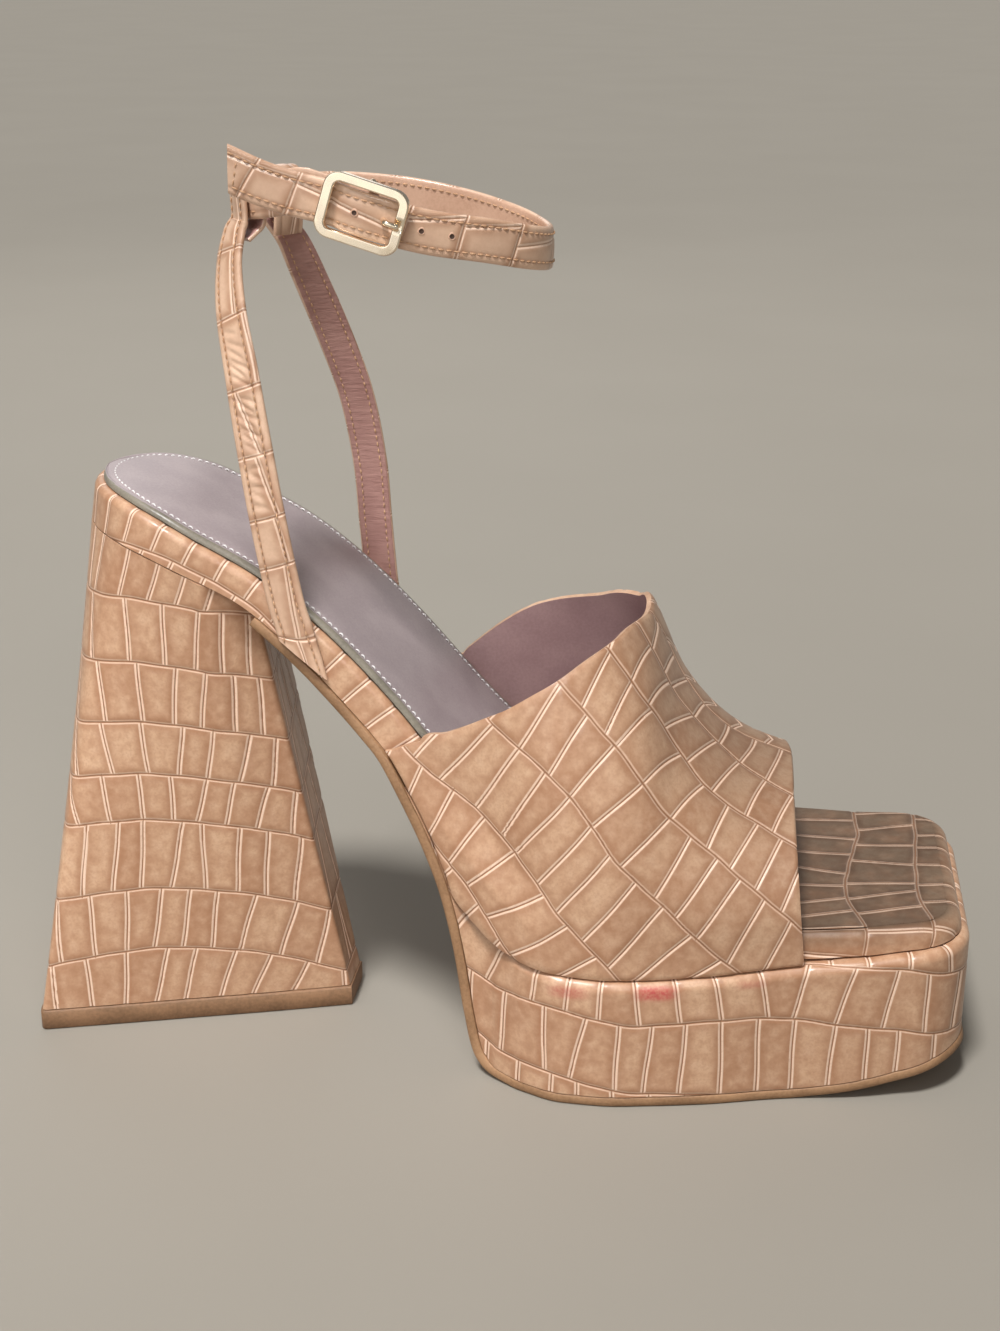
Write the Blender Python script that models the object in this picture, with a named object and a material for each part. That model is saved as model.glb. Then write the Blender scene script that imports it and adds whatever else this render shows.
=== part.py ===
# Platform heel, right shoe: toe along +X, inner side along +Y, standing upright on its sole.
# Sizes are in millimetres; MM turns them into metres.

import math

import bmesh
import bpy
import numpy as np
from mathutils import Vector

MM = 0.001
GAP = 0.3
SMOOTH_ANGLE = math.radians(38)

# Which side of the shoe: the outer side lies towards -Y, the inner side towards +Y.
OUTER, INNER = 2, 3
SIGN = {OUTER: -1.0, INNER: 1.0}

# Footbed: a wrapped board from the heel seat down the shank to the square toe.
FOOTBED = (
    # x, top z, outer half-width, inner half-width, thickness
    (-102.5, 143.2, 28.6, 28.5, 10.5),
    (-92.0, 141.4, 28.6, 28.5, 10.0),
    (-82.0, 138.2, 28.6, 28.5, 9.3),
    (-70.0, 132.3, 28.7, 28.5, 8.3),
    (-56.0, 124.8, 29.6, 28.7, 7.6),
    (-42.0, 114.0, 30.9, 29.0, 7.9),
    (-26.0, 98.0, 32.0, 29.0, 8.4),
    (-10.0, 79.0, 34.0, 30.5, 8.4),
    (0.0, 67.8, 37.5, 32.5, 8.2),
    (10.0, 58.0, 43.0, 35.5, 7.8),
    (20.0, 51.0, 46.6, 38.5, 7.5),
    (30.0, 46.9, 47.0, 40.3, 7.3),
    (42.0, 44.6, 45.4, 41.0, 7.2),
    (55.0, 44.0, 43.0, 40.0, 7.2),
    (77.0, 44.0, 37.6, 37.5, 7.0),
    (92.0, 44.4, 36.0, 36.3, 6.3),
    (104.0, 44.8, 33.8, 37.0, 5.4),
    (116.0, 45.2, 32.6, 36.6, 4.8),
)
SEAT_BACK = -102.5
SEAT_CENTRE = -70.0
TOE_END = 115.6
TOE_RADIUS = 12.0
TOE_TURNS = (18, 36, 52, 66, 78, 87)
SEAT_TURNS = range(6, 90, 12)
STATION_STEP = 6.5
FOOTBED_ROUNDING = 2.2

# Sock: the smooth lining sheet on the footbed, from the heel to under the vamp.
SOCK_INSET = 2.0
SOCK_THICKNESS = 1.3
SOCK_ROUNDING = 0.8
SOCK_END = 62.0
SOCK_STATIONS = 22

# Outsole: a sheet along the shank, down the back of the platform and under it.
SOLE_THICKNESS = 2.5
SHANK_STATIONS = (-52.2, -18.0)
SHANK_PIECES = 8
SOLE_STATIONS = 30
SOLE_BACK = (
    # x, underside z, lead of the outline station ahead of x
    (-21.7, 72.4, 7.4),
    (-15.6, 59.2, 5.4),
    (-11.6, 48.0, 4.0),
    (-8.2, 33.0, 2.4),
    (-5.6, 16.0, 1.0),
    (-3.2, 5.6, 0.3),
    (1.5, 0.9, 0.0),
    (8.0, 0.0, 0.0),
)
SOLE_FRONT = (
    # x, underside z
    (8.0, 0.0),
    (40.0, 0.0),
    (74.0, 0.0),
    (84.0, 1.0),
    (92.0, 2.4),
    (106.0, 5.9),
    (119.0, 9.8),
)

# Platform: how far its wall stands outside the footbed, and the ledge that the vamp stands on.
RIM = (
    # x, overhang
    (-70.0, 0.3),
    (-40.0, 0.4),
    (-30.0, 1.0),
    (-24.0, 2.0),
    (-12.0, 2.8),
    (0.0, 3.3),
    (20.0, 3.7),
    (118.0, 3.2),
)
LEDGE = (
    # x, ledge z
    (-28.0, 81.7),
    (-21.7, 76.0),
    (-15.5, 61.5),
    (-10.5, 52.0),
    (-6.7, 46.5),
    (-1.6, 42.0),
    (3.5, 38.5),
    (11.0, 35.8),
    (21.0, 34.3),
    (34.0, 33.8),
    (53.0, 34.5),
    (77.0, 36.1),
    (92.0, 37.5),
    (104.0, 38.9),
    (118.0, 39.9),
)
STEP_HEIGHT = 0.4
LEDGE_MIN = 0.2
PLATFORM_MIN = 1.2
THIN_EDGE = 0.6
RIM_ROUNDING = 0.75

# Vamp: one curved wall over the ball of the foot, open at the toe, at the collar and underneath.
WALL = 1.8
WALL_CLEARANCE = 0.85
WALL_SHARE = 0.16
WALL_RISE = 1.0
VAMP_FULLNESS = {OUTER: 2.3, INNER: 2.1}
VAMP_CREST = (
    # x, crest y, crest z
    (-30.0, 2.0, 215.0),
    (0.0, 3.0, 165.0),
    (20.0, 4.0, 136.0),
    (36.5, 5.0, 111.5),
    (45.0, 5.5, 92.5),
    (55.0, 6.0, 80.5),
    (62.0, 6.5, 75.6),
    (70.0, 7.0, 72.4),
    (80.0, 7.0, 69.8),
)
VAMP_EDGES = (
    # share of the girth from the outer side to the inner, collar x, toe edge x
    (-1.0, -24.8, 77.5),
    (-0.84, -16.4, 76.6),
    (-0.8, -10.1, 76.3),
    (-0.75, -4.0, 76.0),
    (-0.65, 6.0, 75.5),
    (-0.45, 21.4, 74.6),
    (-0.25, 31.2, 73.9),
    (0.0, 36.5, 73.4),
    (0.25, 33.9, 72.0),
    (0.45, 23.2, 70.4),
    (0.65, 2.9, 70.4),
    (0.8, -11.5, 71.0),
    (0.84, -15.4, 71.2),
    (1.0, -25.0, 72.2),
)
VAMP_GRID = (14, 36)

# Heel: straight rulings from the footbed's underside to the flared outline on the floor.
HEEL = (
    # outer footbed station, inner station, share of the half-width there, floor x, floor half-width
    (-102.35, -102.35, 1.0, -119.6, 5.0),
    (-102.0, -102.0, 1.0, -119.5, 12.0),
    (-101.0, -101.0, 1.0, -119.2, 19.0),
    (-99.4, -99.4, 1.0, -118.7, 25.5),
    (-97.2, -97.2, 1.0, -118.1, 30.4),
    (-94.4, -94.4, 1.0, -117.0, 32.4),
    (-91.0, -91.0, 1.0, -114.0, 31.7),
    (-87.0, -87.0, 1.0, -107.0, 29.4),
    (-82.5, -82.5, 1.0, -99.0, 26.8),
    (-78.0, -78.0, 1.0, -90.0, 23.8),
    (-73.5, -73.5, 1.0, -80.0, 20.4),
    (-69.5, -69.5, 1.0, -69.0, 16.8),
    (-66.0, -66.0, 1.0, -58.0, 13.1),
    (-54.5, -63.0, 0.72, -40.4, 6.9),
)
HEEL_LEVELS = 5
HEEL_FRONT_SHIFT = -2.85
LIFT_HEIGHT = 5.5
LIFT_OVERHANG = 0.4

# Straps: the ankle strap runs from an eye round the buckle's bar, round the ankle and back.
STRAP_THICKNESS = 1.6
ANKLE_WIDTH = 10.0
ANKLE_LOOP = (
    # x, y, z of the strap's centre line behind, inside, in front and outside the ankle
    (-54.0, -20.5, 213.4),
    (-60.0, -12.5, 212.4),
    (-62.0, -2.0, 211.0),
    (-60.0, 9.0, 209.8),
    (-53.5, 18.0, 209.3),
    (-43.0, 23.0, 209.2),
    (-28.0, 24.5, 208.0),
    (-13.0, 22.5, 205.6),
    (0.0, 16.5, 202.8),
    (8.0, 7.5, 200.8),
    (10.6, -3.0, 200.6),
    (7.4, -12.5, 202.0),
    (-2.0, -20.5, 204.6),
    (-13.0, -25.0, 206.6),
)
ANKLE_TAIL = (
    # x, y, z of the free end past the buckle
    (-45.0, -28.1, 215.4),
    (-52.0, -29.0, 217.8),
    (-58.2, -29.8, 220.6),
)
TAIL_SLANT = 2.1
TAIL_SHARES = (1.0, 0.55, 0.2)

# Buckle: directions along the strap, across it and away from the foot, and the bar's centre.
BAR_CENTRE = Vector((-28.4, -25.5, 211.3))
ALONG = Vector((0.955, 0.0, -0.295)).normalized()
ACROSS = Vector((0.295, 0.0, 0.955)).normalized()
OUT = Vector((0.0, -1.0, 0.0))
BAR_RADIUS = 0.8
BAR_BEND = 1.0
BAR_SINK = 1.0
EYE_THICKNESS = 0.9
EYE_TAPER = 4
EYE = (
    # along, out: the strap's end folded round the bar
    (-4.6, 1.1),
    (-2.6, 1.4),
    (0.0, 1.55),
    (1.1, 1.1),
    (1.55, 0.0),
    (1.1, -1.1),
    (0.0, -1.55),
    (-4.5, -1.25),
    (-9.0, -0.75),
    (-15.0, -0.6),
)
OVER_BAR = (
    # along, out: the strap passing through the buckle
    (7.8, 2.1),
    (4.0, 2.9),
    (0.0, 3.5),
    (-4.0, 3.15),
    (-7.8, 2.3),
)
FRAME_OUTER = (19.8, 14.9)
FRAME_INNER = (15.0, 10.7)
FRAME_OUT = (3.6, 5.3)
FRAME_CORNER = 3.6
FRAME_CORNER_LOSS = 2.2
FRAME_BEVEL = 0.5
PRONG_RADIUS = 0.65
PRONG_HOLE = (4.9, 1.2, 0.9, 5.0)
PRONG = (
    # along, out: from beside the eye, up through the strap's hole, onto the frame
    (2.8, 1.0),
    (4.1, 1.1),
    (4.7, 1.7),
    (5.0, 3.0),
    (5.15, 4.9),
    (5.6, 5.9),
    (6.6, 6.25),
    (8.3, 6.25),
)

# Risers: straps from the footbed's edge up to loops round the ankle strap.
RISER_WIDTH = 9.0
RISER_SHARES = (1.0, 0.65, 0.3)
FOLD_THICKNESS = 1.2
RISER_OUTER = (
    # x, y, z, turn of the width direction in degrees
    (-44.6, -32.4, 106.6, 0.0),
    (-46.4, -32.5, 114.0, 0.0),
    (-48.4, -32.9, 122.0, -1.0),
    (-51.6, -33.4, 141.0, -4.0),
    (-54.6, -32.4, 160.0, -10.0),
    (-57.2, -30.0, 175.0, -18.0),
    (-60.0, -26.0, 188.0, -30.0),
    (-61.2, -21.5, 198.0, -42.0),
    (-60.4, -18.6, 205.0, -48.0),
)
RISER_INNER = (
    # x, y, z, turn of the width direction in degrees
    (-36.4, 30.5, 99.6, 0.0),
    (-37.4, 31.2, 107.0, 0.0),
    (-38.8, 32.0, 123.0, 2.0),
    (-39.9, 31.8, 139.0, 6.0),
    (-42.6, 29.6, 157.0, 14.0),
    (-47.0, 25.6, 173.0, 26.0),
    (-51.0, 20.5, 186.5, 40.0),
    (-54.6, 15.6, 198.0, 52.0),
)
LOOP_OUTER = Vector((-58.5, -16.5, 213.0))
LOOP_INNER = Vector((-56.5, 13.5, 210.5))
LOOP_TURN = (
    # away from the foot, up: over the ankle strap
    (1.9, -5.0),
    (1.9, 0.0),
    (1.9, 4.0),
    (1.2, 5.9),
    (-0.4, 6.5),
    (-2.0, 5.9),
    (-2.75, 4.0),
    (-2.75, 0.0),
    (-2.75, -4.2),
)
LOOP_END_OUTER = ((-2.2, -6.3), (-0.5, -7.8), (1.3, -9.2))
LOOP_END_INNER = ((-2.6, -6.6), (-2.2, -9.2))


def through(rows, column):
    """A smooth curve through one column of a table, with no overshoot between its rows."""
    xs = np.array([row[0] for row in rows])
    ys = np.array([row[column] for row in rows])
    steps = np.diff(xs)
    slopes = np.diff(ys) / steps
    tangents = np.concatenate(([slopes[0]], np.zeros(len(xs) - 2), [slopes[-1]]))
    for i in range(1, len(xs) - 1):
        before, after = slopes[i - 1], slopes[i]
        if before * after > 0:
            tangents[i] = 2 * before * after / (before + after)

    def at(x):
        x = min(max(x, xs[0]), xs[-1])
        i = min(max(int(np.searchsorted(xs, x)) - 1, 0), len(steps) - 1)
        t = (x - xs[i]) / steps[i]
        left = (1 + 2 * t) * (1 - t) ** 2 * ys[i] + t * (1 - t) ** 2 * steps[i] * tangents[i]
        right = t * t * (3 - 2 * t) * ys[i + 1] + t * t * (t - 1) * steps[i] * tangents[i + 1]
        return float(left + right)

    return at


footbed_top = through(FOOTBED, 1)
footbed_half = {side: through(FOOTBED, side) for side in (OUTER, INNER)}
footbed_thickness = through(FOOTBED, 4)
rim = through(RIM, 1)
ledge_height = through(LEDGE, 1)
sole_front = through(SOLE_FRONT, 1)
crest_y = through(VAMP_CREST, 1)
crest_z = through(VAMP_CREST, 2)
collar_x = through(VAMP_EDGES, 1)
toe_edge_x = through(VAMP_EDGES, 2)


def edge(side, x, grow=0.0):
    """Half-width of the footbed's outline at x, grown outwards: an ellipse at the seat, arcs at the toe."""
    half = footbed_half[side](x) + grow
    if x < SEAT_CENTRE:
        reach = (SEAT_CENTRE - x) / (SEAT_CENTRE - SEAT_BACK + grow)
        return half * math.sqrt(max(0.0, 1 - reach * reach))
    into = x - (TOE_END - TOE_RADIUS)
    radius = TOE_RADIUS + grow
    if into > 0:
        half -= radius - math.sqrt(max(0.0, radius * radius - into * into))
    return half


def along_toe(first, grow):
    """Stations from first to the toe's front edge: evenly spaced, then by angle round the corners."""
    start = TOE_END - TOE_RADIUS
    count = round((start - first) / STATION_STEP)
    straight = list(np.linspace(first, start, count + 1))
    return straight + [start + (TOE_RADIUS + grow) * math.sin(a) for a in np.radians(TOE_TURNS)]


def round_seat(grow):
    """Stations round the back of the seat, by angle, up to its widest place."""
    reach = SEAT_CENTRE - SEAT_BACK + grow
    return [SEAT_CENTRE - reach * math.cos(math.radians(a)) for a in SEAT_TURNS]


def below_footbed(station, depth):
    """The point (x, z) at a depth square to the footbed's top, under its centre line."""
    slope = footbed_top(station + 0.5) - footbed_top(station - 0.5)
    length = math.hypot(1.0, slope)
    return station + depth * slope / length, footbed_top(station) - depth / length


def footbed_underside():
    """Tables of x against the underside's z, and of x against the station above it."""
    stations = np.linspace(SEAT_BACK, TOE_END, 150)
    points = [below_footbed(s, footbed_thickness(s)) for s in stations]
    return [p[0] for p in points], [p[1] for p in points], stations


UNDER_X, UNDER_Z, UNDER_STATION = footbed_underside()


def underside_z(x):
    return float(np.interp(x, UNDER_X, UNDER_Z))


def underside_slope(x):
    return underside_z(x + 0.5) - underside_z(x - 0.5)


def underside_lead(x):
    """How far ahead of x the footbed's outline station lies at its underside."""
    return float(np.interp(x, UNDER_X, UNDER_STATION)) - x


def sole_line():
    """Rows (x, underside z, lead) of the outsole from the heel's breast to the toe."""
    rows = []
    for station in np.linspace(*SHANK_STATIONS, SHANK_PIECES):
        depth = footbed_thickness(station) + GAP + SOLE_THICKNESS
        x, z = below_footbed(station, depth)
        rows.append((x, z, station - x))
    rows += SOLE_BACK
    lengths = [0.0]
    for before, after in zip(rows, rows[1:]):
        lengths.append(lengths[-1] + math.hypot(after[0] - before[0], after[1] - before[1]))
    curves = [through([(d, row[c]) for d, row in zip(lengths, rows)], 1) for c in range(3)]
    line = [tuple(curve(d) for curve in curves) for d in np.linspace(0, lengths[-1], SOLE_STATIONS)]
    first = SOLE_FRONT[0][0] + STATION_STEP
    return line + [(x, sole_front(x), 0.0) for x in along_toe(first, rim(TOE_END))]


def offset_line(line, distance):
    """The outsole's line moved up and forwards, square to itself."""
    moved = []
    for i, (x, z, lead) in enumerate(line):
        before, after = line[max(i - 1, 0)], line[min(i + 1, len(line) - 1)]
        dx, dz = after[0] - before[0], after[1] - before[1]
        length = math.hypot(dx, dz)
        moved.append((x - dz / length * distance, z + dx / length * distance))
    return moved


SOLE = sole_line()
ABOVE_SOLE = offset_line(SOLE, SOLE_THICKNESS + GAP)


def shelf_height(x):
    """Height of the ledge at x: the platform's rim, or a thin edge on the outsole where it tails off."""
    sole_z = float(np.interp(x, [p[0] for p in ABOVE_SOLE], [p[1] for p in ABOVE_SOLE]))
    return max(ledge_height(x), sole_z + THIN_EDGE)


def principled(name, colour, roughness, metallic=0.0):
    made = bpy.data.materials.new(name)
    made.use_nodes = True
    shader = made.node_tree.nodes["Principled BSDF"]
    shader.inputs["Base Color"].default_value = (*colour, 1.0)
    shader.inputs["Roughness"].default_value = roughness
    shader.inputs["Metallic"].default_value = metallic
    return made


def solid(name, points, faces, material):
    """One closed object from points in millimetres, its faces turned outwards."""
    mesh = bpy.data.meshes.new(name)
    mesh.from_pydata([Vector(p) * MM for p in points], [], faces)
    work = bmesh.new()
    work.from_mesh(mesh)
    bmesh.ops.recalc_face_normals(work, faces=work.faces)
    work.to_mesh(mesh)
    work.free()
    mesh.materials.append(material)
    mesh.shade_smooth()
    mesh.set_sharp_from_angle(angle=SMOOTH_ANGLE)
    made = bpy.data.objects.new(name, mesh)
    bpy.context.scene.collection.objects.link(made)
    return made


def loft(name, rings, material):
    """A solid through rings of equally many points, closed at both ends."""
    count = len(rings[0])
    points = [p for ring in rings for p in ring]
    faces = [tuple(range(count)), tuple(range(len(points) - count, len(points)))]
    for i in range(len(rings) - 1):
        for j in range(count):
            k = (j + 1) % count
            faces.append((i * count + j, i * count + k, (i + 1) * count + k, (i + 1) * count + j))
    return solid(name, points, faces, material)


def ladder(name, levels, material):
    """A solid between stacked outlines, each a list of (outer point, inner point) pairs."""
    rows = len(levels[0])
    count = 2 * rows
    points = []
    for pairs in levels:
        points += [outer for outer, inner in pairs] + [inner for outer, inner in reversed(pairs)]
    faces = []
    for level in range(len(levels) - 1):
        for j in range(count):
            k = (j + 1) % count
            low, high = level * count, (level + 1) * count
            faces.append((low + j, low + k, high + k, high + j))
    for base in (0, (len(levels) - 1) * count):
        for j in range(rows - 1):
            faces.append((base + j, base + j + 1, base + count - 2 - j, base + count - 1 - j))
    return solid(name, points, faces, material)


def spline(points, pieces):
    """Points on a smooth curve through the given ones, with some pieces in each span."""
    points = [Vector(p) for p in points]
    ends = [2 * points[0] - points[1]] + points + [2 * points[-1] - points[-2]]
    curve = []
    for a, b, c, d in zip(ends, ends[1:], ends[2:], ends[3:]):
        for t in np.arange(pieces) / pieces:
            bend = (2 * a - 5 * b + 4 * c - d) * t**2 + (3 * b - a - 3 * c + d) * t**3
            curve.append(0.5 * (2 * b + (c - a) * t + bend))
    return curve + [points[-1]]


def ribbon(name, centres, widths, thicknesses, material):
    """A strap along centre points; widths are half-width vectors, which may slant at an end."""
    rings = []
    for i, centre in enumerate(centres):
        tangent = (centres[min(i + 1, len(centres) - 1)] - centres[max(i - 1, 0)]).normalized()
        width = widths[i]
        face = tangent.cross(width).normalized() * thicknesses[i] / 2
        corners = ((width, face), (-width, face), (-width, -face), (width, -face))
        rings.append([centre + across + out for across, out in corners])
    return loft(name, rings, material)


def tube(name, path, radius, sides, material):
    """A round bar along points that lie in one plane."""
    middle = path[len(path) // 2] + Vector((0.0, 0.01, 0.02))
    side = (path[-1] - path[0]).cross(middle - path[0]).normalized()
    rings = []
    for i, centre in enumerate(path):
        tangent = (path[min(i + 1, len(path) - 1)] - path[max(i - 1, 0)]).normalized()
        first = (side - tangent * side.dot(tangent)).normalized()
        second = tangent.cross(first)
        turns = [2 * math.pi * k / sides for k in range(sides)]
        rings.append([centre + first * radius * math.cos(a) + second * radius * math.sin(a) for a in turns])
    return loft(name, rings, material)


def boolean(target, other, operation):
    """Joins or cuts with a second object, which then stays as a hidden guide."""
    modifier = target.modifiers.new(operation.lower(), "BOOLEAN")
    modifier.operation = operation
    modifier.solver = "EXACT"
    modifier.object = other
    other.hide_render = True
    other.display_type = "WIRE"


def make_footbed(material):
    rings = []
    for x in round_seat(0.0) + along_toe(SEAT_CENTRE, 0.0):
        sides = {}
        for side in (OUTER, INNER):
            half = edge(side, x)
            rounding = min(FOOTBED_ROUNDING, 0.6 * half)
            middle = rounding * (1 - math.sqrt(0.5))
            corner = ((0.0, rounding), (middle, middle), (rounding, 0.0))
            sides[side] = []
            for inset, depth in ((0.0, footbed_thickness(x)), *corner):
                px, pz = below_footbed(x, depth)
                sides[side].append((px, SIGN[side] * (half - inset), pz))
        rings.append(sides[OUTER] + sides[INNER][::-1])
    return loft("footbed", rings, material)


def make_insole(material):
    rings = []
    for x in round_seat(-SOCK_INSET) + list(np.linspace(SEAT_CENTRE, SOCK_END, SOCK_STATIONS)):
        sides = {}
        for side in (OUTER, INNER):
            half = edge(side, x, -SOCK_INSET)
            rounding = min(SOCK_ROUNDING, 0.5 * half)
            shoulder = -GAP - SOCK_THICKNESS + SOCK_ROUNDING
            sides[side] = []
            for inset, depth in ((0.0, -GAP), (0.0, shoulder), (rounding, -GAP - SOCK_THICKNESS)):
                px, pz = below_footbed(x, depth)
                sides[side].append((px, SIGN[side] * (half - inset), pz))
        rings.append(sides[OUTER] + sides[INNER][::-1])
    return loft("insole", rings, material)


def sole_half(side, x, lead):
    return edge(side, x + lead, rim(x))


def make_outsole(material):
    rings = []
    for (x, z, lead), (top_x, top_z) in zip(SOLE, offset_line(SOLE, SOLE_THICKNESS)):
        outer, inner = -sole_half(OUTER, x, lead), sole_half(INNER, x, lead)
        rings.append([(x, outer, z), (top_x, outer, top_z), (top_x, inner, top_z), (x, inner, z)])
    return loft("outsole", rings, material)


def toe_drop(x, rounding):
    """How far the rim's rounding has lowered the ledge at x, close to the front edge."""
    into = x - (TOE_END + rim(TOE_END) - rounding)
    if into <= 0:
        return 0.0
    return rounding - math.sqrt(max(0.0, rounding**2 - into**2))


def make_platform(material):
    rings = []
    for (x, z, lead), (top_x, top_z) in zip(SOLE, ABOVE_SOLE):
        roof = underside_z(top_x) - GAP * math.hypot(1.0, underside_slope(top_x))
        if roof - top_z < PLATFORM_MIN:
            continue
        rounding = RIM_ROUNDING * rim(x)
        drop = toe_drop(top_x, rounding)
        shelf = min(shelf_height(top_x), roof - STEP_HEIGHT) - drop
        roof -= drop
        rounding = min(rounding, 0.8 * (shelf - top_z))
        sides = {}
        for side in (OUTER, INNER):
            half = sole_half(side, x, lead)
            station = min(top_x + underside_lead(top_x), TOE_END)
            inner = min(edge(side, station) - GAP, half - rounding - LEDGE_MIN)
            corner = [(half, top_z)]
            for turn in np.radians((0, 30, 60, 90)):
                inset, rise = rounding * (1 - math.cos(turn)), rounding * (math.sin(turn) - 1)
                corner.append((half - inset, shelf + rise))
            corner += [(inner, shelf), (inner, roof)]
            sides[side] = [(top_x, SIGN[side] * y, z) for y, z in corner]
        rings.append(sides[OUTER] + sides[INNER][::-1])
    return loft("platform", rings, material)


def vamp_foot(x):
    """The height of the vamp's lower edge, just clear of the ledge and of the outsole's edge behind it."""
    slope = shelf_height(x + 0.5) - shelf_height(x - 0.5)
    return shelf_height(x) + GAP * math.hypot(1.0, slope)


def vamp_point(x, girth):
    """A point of the vamp's outer face: an upright wall beside the footbed, then an arch to the crest."""
    side = OUTER if girth < 0 else INNER
    base = footbed_top(x) + WALL_RISE
    share = 1 - abs(girth)
    offset = WALL + WALL_CLEARANCE
    if share < WALL_SHARE:
        foot = vamp_foot(x)
        z = foot + (base - foot) * share / WALL_SHARE
        depth = min(1.0, (base - z) / (base - underside_z(x)))
        half = edge(side, x + underside_lead(x) * depth) + offset
        return Vector((x, SIGN[side] * half, z))
    turn = 0.5 * math.pi * (share - WALL_SHARE) / (1 - WALL_SHARE)
    middle = crest_y(x)
    half = edge(side, x) + offset - SIGN[side] * middle
    across = max(0.0, math.cos(turn)) ** (2 / VAMP_FULLNESS[side])
    up = math.sin(turn) ** (2 / VAMP_FULLNESS[side])
    return Vector((x, middle + SIGN[side] * half * across, base + (crest_z(x) - base) * up))


def make_upper(material):
    lengths, girths = VAMP_GRID

    def at(u, girth):
        rear, front = collar_x(girth), toe_edge_x(girth)
        return vamp_point(rear + (front - rear) * u, girth)

    nudge = 0.004
    outer, inner = [], []
    for i in range(lengths + 1):
        for j in range(girths + 1):
            u, girth = i / lengths, 2 * j / girths - 1
            point = at(u, girth)
            forward = at(min(u + nudge, 1), girth) - at(max(u - nudge, 0), girth)
            round_foot = at(u, min(girth + nudge, 1)) - at(u, max(girth - nudge, -1))
            outer.append(point)
            inner.append(point + round_foot.cross(forward).normalized() * WALL)
    wide = girths + 1
    size = len(outer)
    faces = []
    for i in range(lengths):
        for j in range(girths):
            a, b = i * wide + j, (i + 1) * wide + j
            faces.append((a, a + 1, b + 1, b))
            faces.append((size + a, size + b, size + b + 1, size + a + 1))
    border = list(range(wide))
    border += [i * wide + girths for i in range(1, lengths + 1)]
    border += [lengths * wide + j for j in range(girths - 1, -1, -1)]
    border += [i * wide for i in range(lengths - 1, 0, -1)]
    for a, b in zip(border, border[1:] + border[:1]):
        faces.append((a, b, size + b, size + a))
    return solid("upper", outer + inner, faces, material)


def heel_outline(floor_z, grow):
    """Pairs of floor points of the heel's outline, sheared towards the outer side at the breast."""
    back, front = HEEL[0][3], HEEL[-1][3]
    middle = 0.5 * (back + front)
    pairs = []
    for *seat, x, half in HEEL:
        centre = HEEL_FRONT_SHIFT * (x - back) / (front - back)
        x += grow * max(-1.0, min(1.0, (x - middle) / (0.4 * (front - back))))
        pairs.append(((x, centre - half - grow, floor_z), (x, centre + half + grow, floor_z)))
    return pairs


def make_heel_block(material):
    seat = []
    for outer_station, inner_station, share, *_ in HEEL:
        pair = []
        for side, station in ((OUTER, outer_station), (INNER, inner_station)):
            x, z = below_footbed(station, footbed_thickness(station) + GAP)
            pair.append((x, SIGN[side] * share * edge(side, station), z))
        seat.append(tuple(pair))
    floor = heel_outline(LIFT_HEIGHT + GAP, 0.0)
    levels = []
    for t in np.linspace(0, 1, HEEL_LEVELS):
        levels.append([
            tuple(tuple(np.array(low) * (1 - t) + np.array(high) * t) for low, high in zip(down, top))
            for down, top in zip(floor, seat)
        ])
    return ladder("heel_block", levels, material)


def make_heel_lift(material):
    levels = [heel_outline(z, LIFT_OVERHANG) for z in (0.0, LIFT_HEIGHT)]
    return ladder("heel_lift", levels, material)


def at_buckle(along, out, across=0.0):
    return BAR_CENTRE + ALONG * along + OUT * out + ACROSS * across


def upright_width(centres, half):
    """Half-width vectors that stand as upright as the strap's run allows."""
    widths = []
    for i in range(len(centres)):
        tangent = (centres[min(i + 1, len(centres) - 1)] - centres[max(i - 1, 0)]).normalized()
        up = Vector((0.0, 0.0, 1.0))
        widths.append((up - tangent * up.dot(tangent)).normalized() * half)
    return widths


def ankle_run():
    """The strap's centre line from the eye round the ankle, through the buckle, to the free end."""
    route = [at_buckle(*EYE[-1])] + [Vector(p) for p in ANKLE_LOOP]
    route += [at_buckle(a, o) for a, o in OVER_BAR] + [Vector(p) for p in ANKLE_TAIL]
    return spline(route, 4)[1:]


def make_ankle_strap(material):
    half = ANKLE_WIDTH / 2
    eye = [at_buckle(a, o) for a, o in EYE]
    run = ankle_run()
    widths = [ACROSS * half for point in eye] + upright_width(run, half)
    forwards = (run[-1] - run[-2]).normalized()
    for i, share in enumerate(TAIL_SHARES):
        widths[-1 - i] += forwards * TAIL_SLANT * share
    thicknesses = [EYE_THICKNESS] * len(eye) + [STRAP_THICKNESS] * len(run)
    taper = np.linspace(EYE_THICKNESS, STRAP_THICKNESS, EYE_TAPER + 2)[1:-1]
    thicknesses[len(eye):len(eye) + EYE_TAPER] = taper
    strap = ribbon("ankle_strap", eye + run, widths, thicknesses, material)
    along, radius, *reach = PRONG_HOLE
    punch = tube("prong_hole", [at_buckle(along, out) for out in reach], radius, 12, material)
    boolean(strap, punch, "DIFFERENCE")
    return strap


def rounded_rectangle(size, corner, pieces):
    """Corner-rounded outline as (along, across) points, anticlockwise from the lower right."""
    points = []
    for quarter, (sx, sy) in enumerate(((1, -1), (1, 1), (-1, 1), (-1, -1))):
        for k in range(pieces + 1):
            a = math.radians(90 * (quarter - 1 + k / pieces))
            x = sx * (size[0] / 2 - corner) + corner * math.cos(a)
            y = sy * (size[1] / 2 - corner) + corner * math.sin(a)
            points.append((x, y))
    return points


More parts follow.
